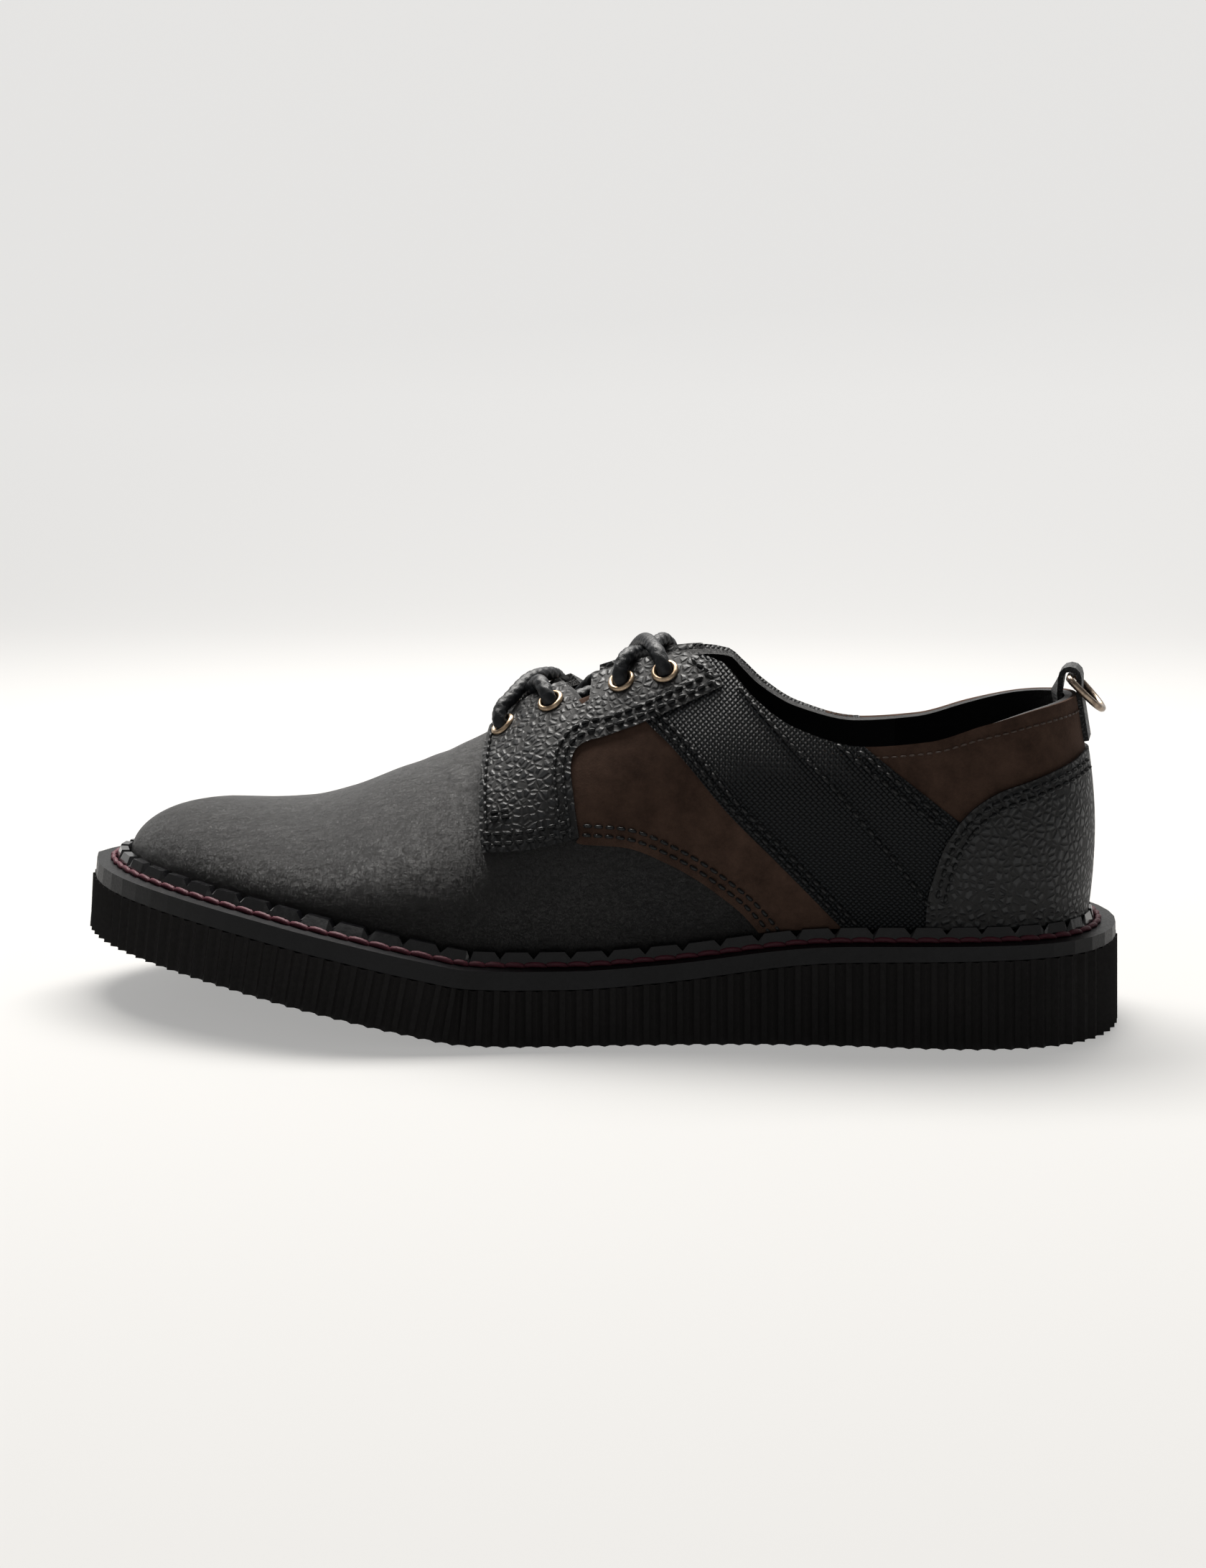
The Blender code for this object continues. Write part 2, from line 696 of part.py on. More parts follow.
def make_welt():
    """A strip round the upper's foot whose crest is notched into teeth."""
    inner = WELT_MARGIN + WELT_WIDTH
    teeth = round((OUTLINE_LENGTH - 2 * math.pi * inner) / TOOTH_PITCH)
    half_gap = TOOTH_GAP / TOOTH_PITCH / 2
    rings = []
    for tooth in range(teeth):
        for place, height in (
            (-half_gap, WELT_HEIGHT), (0.0, WELT_HEIGHT - TOOTH_DEPTH), (half_gap, WELT_HEIGHT),
        ):
            distance = even_distance((tooth + place) / teeth)
            a, _ = outline_point(distance, inner)
            base = midsole_top(a) + CLEARANCE
            corners = ((inner, 0.0), (inner - WELT_SLANT, height), (WELT_MARGIN + WELT_SLANT, height), (WELT_MARGIN, 0.0))
            rings.append([bent(*outline_point(distance, inset), base + up) for inset, up in corners])
    return loft("welt", WELT, rings, True)


# Upper and its panels

LATTICE = Lattice()


def lattice_quads(names, columns, rows):
    quads = []
    for name in names:
        for c in range(*columns):
            for r in range(*rows):
                quad = [(c, r + 1), (c, r), (c + 1, r), (c + 1, r + 1)]
                if name == "lateral":
                    quad = [(c, r + 1), (c + 1, r + 1), (c + 1, r), (c, r)]
                quads.append([LATTICE.key(name, *corner) for corner in quad])
    return quads


LATTICE_PLACES = {}
for _name in SIDES:
    for _c in range(LATTICE.columns + 1):
        for _r in range(ROWS + 1):
            LATTICE_PLACES.setdefault(LATTICE.key(_name, _c, _r), (_name, _c, _r))


def lattice_point(key, depth):
    return LATTICE.at(*LATTICE_PLACES[key], depth)


def lattice_column(along):
    """The last column at or before this share along."""
    return max(c for c in range(LATTICE.columns + 1) if LATTICE.along[c] <= along + 1e-4)


def seam(points, steps=3):
    """A smooth line through seam points, as shares along and up."""
    knots = [np.array(p) for p in points]
    knots = [2 * knots[0] - knots[1]] + knots + [2 * knots[-1] - knots[-2]]
    line = []
    for i in range(1, len(knots) - 2):
        for k in range(steps):
            t = k / steps
            before, start, end, after = knots[i - 1:i + 3]
            line.append(0.5 * (
                2 * start + (end - before) * t + (2 * before - 5 * start + 4 * end - after) * t * t
                + (3 * start - before - 3 * end + after) * t**3
            ))
    line.append(knots[-2])
    return line


def side_place(share):
    """World X and Z of a seam point; its height follows the collar at the rear and the instep in front."""
    part = min(max((share[0] - 0.27) / 0.09, 0.0), 1.0)
    height = COLLAR_HEIGHT + part * (SEAM_SHARE * INSTEP_HEIGHT - COLLAR_HEIGHT)
    return np.array([HEEL_X - share[0] * SOLE_LENGTH, share[1] * height])


def inset_outline(points, gap):
    """The outline moved inwards all round by the gap."""
    points = [p for i, p in enumerate(points) if np.linalg.norm(p - points[i - 1]) > 1e-5]
    area = sum(points[i - 1][0] * p[1] - p[0] * points[i - 1][1] for i, p in enumerate(points))
    if area < 0:
        points = points[::-1]
    moved = []
    for i, point in enumerate(points):
        before = point - points[i - 1]
        after = points[(i + 1) % len(points)] - point
        before /= np.linalg.norm(before)
        after /= np.linalg.norm(after)
        first = np.array([-before[1], before[0]])
        second = np.array([-after[1], after[0]])
        moved.append(point + gap * (first + second) / max(0.35, 1 + float(first @ second)))
    return moved


def prism(name, outline, near, far):
    """A cutter of this side view outline between two distances across the shoe."""
    bm = bmesh.new()
    face = bm.faces.new([bm.verts.new((x, near, z)) for x, z in outline])
    made = bmesh.ops.extrude_face_region(bm, geom=[face])
    for item in made["geom"]:
        if isinstance(item, bmesh.types.BMVert):
            item.co.y = far
    bmesh.ops.triangulate(bm, faces=bm.faces[:])
    return as_cutter(add_bmesh(name, bm, LEATHER, CUTTERS))


def panel(name, surface, side_name, outline, columns, thickness, rows=None):
    """A layer over the upper, cut to its outline as seen from the side."""
    names = [side_name] if side_name else list(SIDES)
    quads = lattice_quads(names, columns, rows or (PANEL_ROW, ROWS))
    outer = CLEARANCE + thickness
    made = thick_skin(name, surface, lattice_point, quads, outer, CLEARANCE)
    reach = BALL_WIDTH
    middle = -MIDDLE_Y
    near, far = -reach, reach
    if side_name == "lateral":
        far = middle - CLEARANCE / 2
    if side_name == "medial":
        near = middle + CLEARANCE / 2
    cutter = prism(name + "_outline", inset_outline([side_place(p) for p in outline], CLEARANCE / 2), near, far)
    return boolean(made, "INTERSECT", cutter)


def facing_place(name, along, below):
    """A point of the upper this far below the facing's edge, and its normal."""
    side = SIDES[name]
    part = foot_distance(side, along)
    rib = Rib(side, part)
    t = 1.0
    while (rib.point(t) - rib.top).length < below:
        t -= 0.002
    return rib.point(t), surface_normal(side, part, t)


def eyelet_place(name, row):
    """Centre of an eyelet on the eyestay's outer face, and the direction it faces."""
    point, normal = facing_place(name, *EYELETS[row])
    return point + (CLEARANCE + EYESTAY_THICKNESS) * normal, normal


def turned(axis):
    return Vector((0, 0, 1)).rotation_difference(axis).to_matrix().to_4x4()


def throat_cutter():
    """The bores of all the eyelets and the notch in the middle of the facings."""
    cutter = prism("throat_cutter", [side_place(p) for p in NOTCH], -BALL_WIDTH / 3, BALL_WIDTH / 3)
    radius = (EYELET_BARREL + CLEARANCE) / math.cos(math.pi / BORE_SIDES)
    length = 3 * (EYESTAY_THICKNESS + UPPER_WALL)
    bm = bmesh.new()
    bm.from_mesh(cutter.data)
    for name in SIDES:
        for row in range(len(EYELETS)):
            centre, axis = eyelet_place(name, row)
            made = bmesh.ops.create_cone(
                bm, cap_ends=True, segments=BORE_SIDES, radius1=radius, radius2=radius, depth=length,
            )
            matrix = turned(axis)
            matrix.translation = centre
            bmesh.ops.transform(bm, matrix=matrix, verts=made["verts"])
    bm.to_mesh(cutter.data)
    bm.free()
    return cutter


def make_upper(cutter):
    quads = lattice_quads(SIDES, (0, LATTICE.columns), (0, ROWS))
    upper = thick_skin("upper", LEATHER, lattice_point, quads, 0.0, -UPPER_WALL)
    return boolean(upper, "DIFFERENCE", cutter)


def make_panels(cutter):
    eyestay = seam(EYESTAY_FRONT) + seam(EYESTAY_FOOT) + seam(EYESTAY_REAR) + seam(EYESTAY_BAND) + seam(EYESTAY_END)
    front = seam(VAMP_SEAM) + seam(FABRIC_FRONT)[::-1] + seam(EYESTAY_BAND)[:4][::-1] + seam(EYESTAY_REAR)[::-1]
    middle = (
        seam(FABRIC_FRONT)[::-1] + seam(EYESTAY_BAND)[3:] + seam(EYESTAY_END) + [np.array((0.300, 1.300))]
        + seam(FABRIC_REAR) + seam(COUNTER_FRONT)
    )
    collar = seam(FABRIC_REAR) + seam(COUNTER_TOP) + [np.array((-0.020, 1.200)), np.array((0.300, 1.200))]
    last = lattice_column
    for name in SIDES:
        boolean(
            panel("eyestay_" + name, PEBBLED, name, eyestay, (last(0.345), last(0.641)), EYESTAY_THICKNESS),
            "DIFFERENCE", cutter,
        )
        panel("quarter_front_" + name, SUEDE, name, front, (last(0.19), last(0.523)), SUEDE_THICKNESS)
        panel("quarter_middle_" + name, FABRIC, name, middle, (last(0.13), last(0.456)), FABRIC_THICKNESS)
        panel("collar_panel_" + name, SUEDE, name, collar, (0, last(0.31)), SUEDE_THICKNESS)
    counter = seam(COUNTER_FRONT)[::-1] + seam(COUNTER_TOP) + [np.array((-0.020, 0.250))]
    panel("counter", PEBBLED, None, counter, (0, last(0.221)), COUNTER_THICKNESS, (PANEL_ROW, ROWS - 1))


# Tongue, eyelets and lace

def make_tongue():
    """A sheet beneath the throat, with room for the lace under the facings."""
    room = LACE_DIAMETER + 4 * CLEARANCE
    room_share = track(LACE_ROOM)
    places = {}
    for c, along in enumerate(TONGUE_COLUMNS):
        edges = []
        for name, side in SIDES.items():
            part = foot_distance(side, along)
            rib = Rib(side, part)
            for r, (t, share) in enumerate(TONGUE_ROWS):
                row = r if side < 0 else 2 * len(TONGUE_ROWS) - r
                depth = UPPER_WALL + TONGUE_GAP + room * share * room_share(along)
                normal = surface_normal(side, part, t)
                places[c, row] = (rib.point(t) - depth * normal, normal)
            edges.append((rib.top, surface_normal(side, part, 1.0)))
        normal = (edges[0][1] + edges[1][1]).normalized()
        depth = UPPER_WALL + TONGUE_GAP + room * room_share(along)
        places[c, len(TONGUE_ROWS)] = ((edges[0][0] + edges[1][0]) / 2 - depth * normal, normal)
    quads = []
    for c in range(len(TONGUE_COLUMNS) - 1):
        for r in range(2 * len(TONGUE_ROWS)):
            quads.append([(c, r), (c, r + 1), (c + 1, r + 1), (c + 1, r)])

    def layer(key, depth):
        point, normal = places[key]
        return point + depth * normal

    tongue = thick_skin("tongue", PEBBLED, layer, quads, 0.0, -TONGUE_THICKNESS)
    return smooth(tongue)


def make_eyelets():
    depth = EYESTAY_THICKNESS + UPPER_WALL + 2 * CLEARANCE
    crest = (EYELET_BORE + EYELET_RADIUS) / 2
    profile = (
        (EYELET_RADIUS, CLEARANCE), (EYELET_BARREL, CLEARANCE), (EYELET_BARREL, -depth),
        (EYELET_BORE, -depth), (EYELET_BORE, CLEARANCE + EYELET_DOME / 2), (crest, CLEARANCE + EYELET_DOME),
    )
    for name in SIDES:
        for row in range(len(EYELETS)):
            node = f"eyelet_{name}_{row + 1}"
            corners = [(radius, 0, up) for radius, up in profile]
            mesh = bpy.data.meshes.new(node)
            mesh.from_pydata(corners, [(i, (i + 1) % len(corners)) for i in range(len(corners))], [])
            eyelet = add_object(node, mesh, BRASS)
            screw = eyelet.modifiers.new("Screw", "SCREW")
            screw.steps = EYELET_SIDES
            screw.render_steps = EYELET_SIDES
            screw.use_merge_vertices = True
            screw.merge_threshold = 1e-6
            screw.use_smooth_shade = True
            screw.use_normal_calculate = True
            screw.use_normal_flip = True
            centre, axis = eyelet_place(name, row)
            matrix = turned(axis)
            matrix.translation = centre
            eyelet.matrix_world = matrix


def strand_points(start, end, outside, on_top):
    """A lace's line from one eyelet to another, over the facings or beneath them."""
    radius = LACE_DIAMETER / 2
    if outside:
        over_eyelet = 2 * CLEARANCE + EYESTAY_THICKNESS + EYELET_DOME + 2 * CLEARANCE + radius
        over_edge = CLEARANCE + EYESTAY_THICKNESS + 2 * CLEARANCE + radius
        lift = -CROWN_DROP
    else:
        over_eyelet = -(UPPER_WALL + 3 * CLEARANCE + radius)
        over_edge = over_eyelet
        lift = 0.0
    lift += CROSSING_RISE * on_top
    sides = []
    for here, there in ((start, end), (end, start)):
        along, below = EYELETS[here[1]]
        toward = EYELETS[there[1]][0] - along
        eyelet, eyelet_normal = facing_place(here[0], along, below)
        middle, middle_normal = facing_place(here[0], along + 0.08 * toward, below / 2)
        edge, edge_normal = facing_place(here[0], along + 0.20 * toward, 0.0)
        sides.append([
            eyelet + over_eyelet * eyelet_normal,
            middle + (over_eyelet + over_edge) / 2 * middle_normal,
            edge + over_edge * edge_normal,
        ])
    crown = (sides[0][2] + sides[1][2]) / 2 + Vector((0, 0, lift))
    return sides[0] + [crown] + sides[1][::-1]


def rounded(points, steps):
    """More points on a smooth line through these."""
    knots = [2 * points[0] - points[1]] + list(points) + [2 * points[-1] - points[-2]]
    line = []
    for i in range(1, len(knots) - 2):
        before, start, end, after = knots[i - 1:i + 3]
        for k in range(steps):
            t = k / steps
            line.append(0.5 * (
                2 * start + (end - before) * t + (2 * before - 5 * start + 4 * end - after) * t * t
                + (3 * start - before - 3 * end + after) * t**3
            ))
    return line + [points[-1]]


def make_laces():
    for node, strands in LACES.items():
        outside = node in OUTSIDE_LACES
        made = []
        for i, (start, end, on_top) in enumerate(strands):
            points = rounded(strand_points(start, end, outside, on_top), 2)
            name, collection = (node, PARTS) if i == 0 else (node + "_joined", CUTTERS)
            made.append(wire(name, CORD, points, LACE_DIAMETER / 2, LACE_SIDES, False, collection))
        if len(made) > 1:
            boolean(as_mesh(made[0]), "UNION", as_cutter(as_mesh(made[1])))


# Pull tab and ring

def heel_line(up):
    """World X of the upper's back at this height above the floor."""
    t = 1.0
    while surface_point(-1, 0.0, t).z > up:
        t -= 0.002
    return surface_point(-1, 0.0, t).x


def loop_centre():
    """World X and Z of the bore that holds the ring."""
    outer = heel_line(COLLAR_HEIGHT) + SUEDE_THICKNESS + 2 * CLEARANCE + TAB_THICKNESS / 2
    return outer - (TAB_LOOP_BORE + TAB_THICKNESS) / 2, COLLAR_HEIGHT + TAB_RISE


def make_pull_tab():
    """A strip folded over the heel's top edge, with a loop turned askew above it."""
    outer = SUEDE_THICKNESS + 2 * CLEARANCE + TAB_THICKNESS / 2
    inner = -(UPPER_WALL + TAB_SAG + CLEARANCE + TAB_THICKNESS / 2)
    loop_x, loop_z = loop_centre()
    radius = (TAB_LOOP_BORE + TAB_THICKNESS) / 2
    line = []
    for share in (0.0, 0.33, 0.67, 1.0):
        up = TAB_FOOT_OUTSIDE + share * (COLLAR_HEIGHT - TAB_FOOT_OUTSIDE)
        line.append((heel_line(up) + outer, up))
    for i in range(7):
        angle = math.pi * i / 6
        line.append((loop_x + radius * math.cos(angle), loop_z + radius * math.sin(angle)))
    for share in (1.0, 0.5, 0.0):
        up = TAB_FOOT_INSIDE + share * (COLLAR_HEIGHT - TAB_FOOT_INSIDE)
        line.append((heel_line(up) + inner, up))
    rings = []
    for i, (x, z) in enumerate(line):
        before = line[max(i - 1, 0)]
        after = line[min(i + 1, len(line) - 1)]
        ahead = np.array([after[0] - before[0], after[1] - before[1]])
        ahead /= np.linalg.norm(ahead)
        ring = []
        for depth, y in ((0.5, -0.5), (0.5, 0.5), (-0.5, 0.5), (-0.5, -0.5)):
            up = z - depth * TAB_THICKNESS * ahead[0]
            rise = min(max((up - COLLAR_HEIGHT - CLEARANCE) / (TAB_RISE / 2), 0.0), 1.0)
            if x > loop_x:
                rise = 1.0
            across = y * TAB_WIDTH
            ring.append(Vector((
                x + depth * TAB_THICKNESS * ahead[1] + rise * across * math.tan(TAB_TWIST),
                across - MIDDLE_Y,
                up,
            )))
        rings.append(ring)
    return smooth(loft("pull_tab", LEATHER, rings, False))


def make_pull_ring():
    """A wire D whose straight side runs through the tab's loop."""
    loop_x, loop_z = loop_centre()
    centre = Vector((loop_x, -MIDDLE_Y, loop_z))
    along = Vector((math.sin(TAB_TWIST), math.cos(TAB_TWIST), 0))
    away = Vector((math.cos(TAB_TWIST), -math.sin(TAB_TWIST), 0))
    down = math.sin(RING_TILT) * away - math.cos(RING_TILT) * Vector((0, 0, 1))
    half = TAB_WIDTH / 2 + RING_PLAY + RING_WIRE / 2
    shoulder = RING_WIRE / 2
    outline = [(-half + shoulder, 0.0), (half - shoulder, 0.0)]
    for i in range(13):
        angle = math.pi * i / 12
        outline.append((half * math.cos(angle), shoulder + (RING_DROP - shoulder) * math.sin(angle)))
    points = [u * along + v * down for u, v in outline]
    ring = wire("pull_ring", BRONZE, points, RING_WIRE / 2, RING_SIDES, True)
    ring.location = centre
    return ring


if __name__ == "__main__":
    make_outsole()
    make_midsole()
    make_insole()
    make_welt()
    THROAT_CUTTER = throat_cutter()
    make_upper(THROAT_CUTTER)
    make_panels(THROAT_CUTTER)
    make_tongue()
    make_eyelets()
    make_laces()
    make_pull_tab()
    make_pull_ring()
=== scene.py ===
"""Left derby shoe dressed for a studio picture, from the same named sizes as its solids.

Lengths are in metres. Along the shoe, `a` runs from the heel end of the sole to its toe tip, `y` is
negative on the outer side and `w` is the height above the underside of the sole, square to it.
In the world +X points to the heel and +Z up. Table columns hold shares of the sizes named beside them.
"""

import json
import math

import bmesh
import bpy
import numpy as np
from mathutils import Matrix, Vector
from mathutils.bvhtree import BVHTree


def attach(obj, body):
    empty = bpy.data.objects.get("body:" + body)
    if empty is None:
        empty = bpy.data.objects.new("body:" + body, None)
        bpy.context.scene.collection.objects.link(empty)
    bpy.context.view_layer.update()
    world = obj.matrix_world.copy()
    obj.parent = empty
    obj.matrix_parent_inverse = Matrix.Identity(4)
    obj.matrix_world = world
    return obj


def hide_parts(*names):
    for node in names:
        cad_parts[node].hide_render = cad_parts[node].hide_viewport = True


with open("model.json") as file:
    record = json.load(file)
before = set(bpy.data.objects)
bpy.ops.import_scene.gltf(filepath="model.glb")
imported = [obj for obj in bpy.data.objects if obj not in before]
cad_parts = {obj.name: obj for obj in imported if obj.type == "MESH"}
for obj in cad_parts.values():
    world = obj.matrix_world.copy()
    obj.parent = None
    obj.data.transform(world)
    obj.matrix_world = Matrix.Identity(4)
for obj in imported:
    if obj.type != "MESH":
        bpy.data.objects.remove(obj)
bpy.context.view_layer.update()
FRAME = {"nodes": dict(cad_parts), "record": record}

# Driving sizes
SOLE_LENGTH = 0.302
BALL_WIDTH = 0.110
HEEL_WIDTH = 0.078
TOE_SPRING = 0.0186
TREAD_FRONT = 0.0150
TREAD_HEEL = 0.0240
BAND_FRONT = 0.0050
BAND_HEEL = 0.0036
RIB_PROUD = 0.0005
WELT_MARGIN = 0.0056
WELT_WIDTH = 0.0042
UPPER_WALL = 0.0021
COLLAR_HEIGHT = 0.0915
COLLAR_RADIUS = 0.0270
INSTEP_HEIGHT = 0.1020
TOE_HEIGHT = 0.0560
THROAT_GAP = 0.0190
TONGUE_THICKNESS = 0.0018
TONGUE_GAP = 0.0010
SUEDE_THICKNESS = 0.0011
FABRIC_THICKNESS = 0.0014
EYESTAY_THICKNESS = 0.0016
COUNTER_THICKNESS = 0.0016
EYELET_RADIUS = 0.0040
EYELET_BORE = 0.0024
EYELET_BARREL = 0.0029
EYELET_DOME = 0.0008
LACE_DIAMETER = 0.0043
TAB_WIDTH = 0.0140
TAB_TWIST = math.radians(10)
RING_WIRE = 0.0020
RING_DROP = 0.0125
RING_PLAY = 0.0014
RING_TILT = math.radians(44)
CROSSING_RISE = 0.0035
CROWN_DROP = 0.0014
CLEARANCE = 0.0003

# How far a cover's face stands past its own thickness, so that overlapping layers show in order
QUARTER_LIFT = 0.00015
COLLAR_LIFT = 0.0002
FABRIC_LIFT = 0.00035
EYESTAY_LIFT = 0.0006
COUNTER_LIFT = 0.0007
COVER_FLOOR = 0.0001

# Fine parts of the surface
FAN_COLUMNS = 26
BODY_COLUMNS = 92
VAMP_COLUMNS = 46
GRID_ROWS = 52
OUTLINE_SAMPLES = 2000
COVER_EDGE = 0.0003
EYELET_SEGMENTS = 36
BORE_LENGTH = 0.014
LACE_SIDES = 20
LACE_STEP = 0.0005
BRAID_PITCH = 0.0030
BRAID_DEPTH = 0.00022
WEAVE_PITCH = 0.00112
WEAVE_ANGLE = -47.0
STITCH_PITCH = 0.0031
TOP_STITCH_PITCH = 0.0024
WELT_STITCH_PITCH = 0.0059

# Camera
CAMERA_PLACE = (0.0649, -0.58596, 0.1608)
CAMERA_TURN = math.radians(5.9)
CAMERA_LENS = 46.15
CAMERA_SHIFT = -0.213

# Sole outline: share along, outer and inner half widths as shares of the heel or ball width
HEEL, BALL = HEEL_WIDTH, BALL_WIDTH
OUTLINE = (
    # along, outer, inner, of
    (0.038, 0.354, 0.354, HEEL),
    (0.129, 0.500, 0.500, HEEL),
    (0.250, 0.508, 0.470, HEEL),
    (0.364, 0.378, 0.310, BALL),
    (0.480, 0.425, 0.340, BALL),
    (0.580, 0.468, 0.405, BALL),
    (0.660, 0.494, 0.467, BALL),
    (0.730, 0.488, 0.503, BALL),
    (0.810, 0.428, 0.495, BALL),
    (0.880, 0.340, 0.443, BALL),
    (0.940, 0.225, 0.345, BALL),
    (0.980, 0.098, 0.216, BALL),
)
TOE_TIP_SIDE = 0.055  # the tip lies this share of the ball width towards the inner side

# Underside rise: share along, share of the toe spring
SPRING = (
    (0.000, 0.00),
    (0.540, 0.00),
    (0.590, 0.03),
    (0.650, 0.21),
    (0.720, 0.44),
    (0.820, 0.70),
    (0.920, 0.89),
    (1.000, 1.00),
)

# Tread height: share along, 0 for the front height and 1 for the heel height
TREAD = (
    (0.00, 1.00),
    (0.13, 0.94),
    (0.19, 0.88),
    (0.27, 0.77),
    (0.42, 0.17),
    (0.50, 0.00),
    (1.00, 0.00),
)

# Upper sections by the share along of their foot on the sole. Columns: half width of the top edge and
# its height, each a share of the size named after it, the lean of the wall at the top edge and its
# flare at the foot in degrees, and the pull of the curve's lower and upper handles.
RADIUS, GAP = COLLAR_RADIUS, THROAT_GAP
COLLAR, INSTEP, TOE = COLLAR_HEIGHT, INSTEP_HEIGHT, TOE_HEIGHT
SECTIONS = (
    # along, half width, of, height, of, lean, flare, low, high
    (0.034, 1.00, RADIUS, 1.000, COLLAR, 9, 8, 0.44, 0.40),
    (0.080, 1.01, RADIUS, 0.976, COLLAR, 10, 9, 0.44, 0.40),
    (0.129, 1.06, RADIUS, 0.934, COLLAR, 12, 10, 0.46, 0.38),
    (0.180, 1.13, RADIUS, 0.884, COLLAR, 14, 12, 0.50, 0.36),
    (0.240, 1.16, RADIUS, 0.868, COLLAR, 17, 14, 0.52, 0.36),
    (0.298, 1.10, RADIUS, 0.915, COLLAR, 24, 14, 0.52, 0.38),
    (0.336, 0.98, RADIUS, 0.995, COLLAR, 33, 14, 0.50, 0.40),
    (0.352, 0.86, RADIUS, 0.942, INSTEP, 38, 14, 0.50, 0.40),
    (0.366, 0.70, RADIUS, 0.983, INSTEP, 43, 14, 0.48, 0.40),
    (0.390, 0.71, GAP, 0.996, INSTEP, 49, 14, 0.48, 0.40),
    (0.420, 0.58, GAP, 0.989, INSTEP, 53, 14, 0.46, 0.40),
    (0.460, 0.53, GAP, 0.958, INSTEP, 56, 14, 0.46, 0.42),
    (0.500, 0.48, GAP, 0.920, INSTEP, 58, 14, 0.46, 0.42),
    (0.530, 0.44, GAP, 0.892, INSTEP, 60, 14, 0.46, 0.44),
    (0.560, 0.37, GAP, 0.843, INSTEP, 63, 14, 0.46, 0.46),
    (0.582, 0.27, GAP, 0.794, INSTEP, 70, 14, 0.46, 0.48),
    (0.600, 0.00, GAP, 0.759, INSTEP, 84, 14, 0.46, 0.50),
    (0.640, 0.00, GAP, 0.704, INSTEP, 90, 13, 0.48, 0.50),
    (0.690, 0.00, GAP, 0.646, INSTEP, 90, 12, 0.50, 0.50),
    (0.740, 0.00, GAP, 0.588, INSTEP, 90, 11, 0.52, 0.52),
    (0.785, 0.00, GAP, 1.013, TOE, 90, 10, 0.54, 0.54),
    (0.830, 0.00, GAP, 0.998, TOE, 90, 9, 0.55, 0.55),
    (0.870, 0.00, GAP, 1.000, TOE, 90, 8, 0.55, 0.56),
    (0.970, 0.00, GAP, 1.000, TOE, 90, 8, 0.55, 0.56),
)
RIDGE_SIDE = 0.045  # the instep ridge lies this share of the ball width towards the inner side
HEEL_CENTRE = 0.129
TOE_POLE = 0.868
THROAT_FRONT = 0.600

# Seams seen from the side: share along, share of the collar height or, from the instep on, of the
# same share of the instep height
SEAM_SHARE = 0.897059
COLLAR_END = 0.27
INSTEP_START = 0.36
EYESTAY_FRONT = ((0.600, 1.200), (0.597, 0.900), (0.592, 0.720), (0.583, 0.548))
EYESTAY_FOOT = ((0.583, 0.548), (0.540, 0.562), (0.494, 0.598))
EYESTAY_REAR = ((0.494, 0.598), (0.500, 0.700), (0.505, 0.805), (0.497, 0.858), (0.473, 0.886))
EYESTAY_BAND = ((0.473, 0.886), (0.437, 0.930), (0.400, 0.985), (0.366, 1.040))
EYESTAY_END = ((0.366, 1.040), (0.368, 1.060), (0.380, 1.105), (0.392, 1.130), (0.400, 1.300))
VAMP_SEAM = (
    (0.494, 0.598), (0.493, 0.578), (0.449, 0.567), (0.414, 0.522), (0.389, 0.477), (0.365, 0.420),
    (0.344, 0.358), (0.318, 0.250),
)
FABRIC_FRONT = ((0.437, 0.930), (0.403, 0.833), (0.362, 0.685), (0.309, 0.509), (0.235, 0.250))
FABRIC_REAR = ((0.300, 1.040), (0.239, 0.878), (0.152, 0.655))
COUNTER_FRONT = ((0.152, 0.655), (0.166, 0.580), (0.175, 0.495), (0.181, 0.410), (0.183, 0.250))
COUNTER_TOP = (
    (0.152, 0.655), (0.138, 0.700), (0.115, 0.745), (0.088, 0.772), (0.047, 0.815), (0.030, 0.835),
    (-0.020, 0.850),
)
NOTCH = ((0.526, 1.035), (0.500, 0.965), (0.493, 0.980), (0.494, 1.200), (0.545, 1.200))
EYELETS = (
    # share along, distance from the facing's edge
    (0.575, 0.0072), (0.529, 0.0078), (0.461, 0.0072), (0.420, 0.0070),
)

# Tongue: shares along, and up each wall the share of the lace's room kept under the facings
TONGUE_COLUMNS = (0.375, 0.405, 0.440, 0.480, 0.520, 0.555, 0.585, 0.610, 0.635, 0.662)
TONGUE_ROWS = ((0.68, 0.00), (0.77, 0.55), (0.86, 1.00), (0.94, 1.00))
LACE_ROOM = ((0.375, 1.00), (0.600, 1.00), (0.662, 0.00))

SIDES = {"lateral": -1, "medial": 1}

# Smooth curves through table values

def track(points):
    """A curve through (x, y) points that rises and falls only where they do."""
    x, y = (np.array(column, float) for column in zip(*points))
    step = np.diff(x)
    rise = np.diff(y) / step
    slope = np.zeros(len(x))
    slope[0] = rise[0]
    slope[-1] = rise[-1]
    for i in range(1, len(x) - 1):
        if rise[i - 1] * rise[i] > 0:
            before = 2 * step[i] + step[i - 1]
            after = step[i] + 2 * step[i - 1]
            slope[i] = (before + after) / (before / rise[i - 1] + after / rise[i])

    def value(at):
        at = min(max(at, x[0]), x[-1])
        i = min(int(np.searchsorted(x, at, side="right")) - 1, len(step) - 1)
        t = (at - x[i]) / step[i]
        return float(
            (1 + 2 * t) * (1 - t) ** 2 * y[i]
            + t * (1 - t) ** 2 * step[i] * slope[i]
            + t * t * (3 - 2 * t) * y[i + 1]
            + t * t * (t - 1) * step[i] * slope[i + 1]
        )

    return value


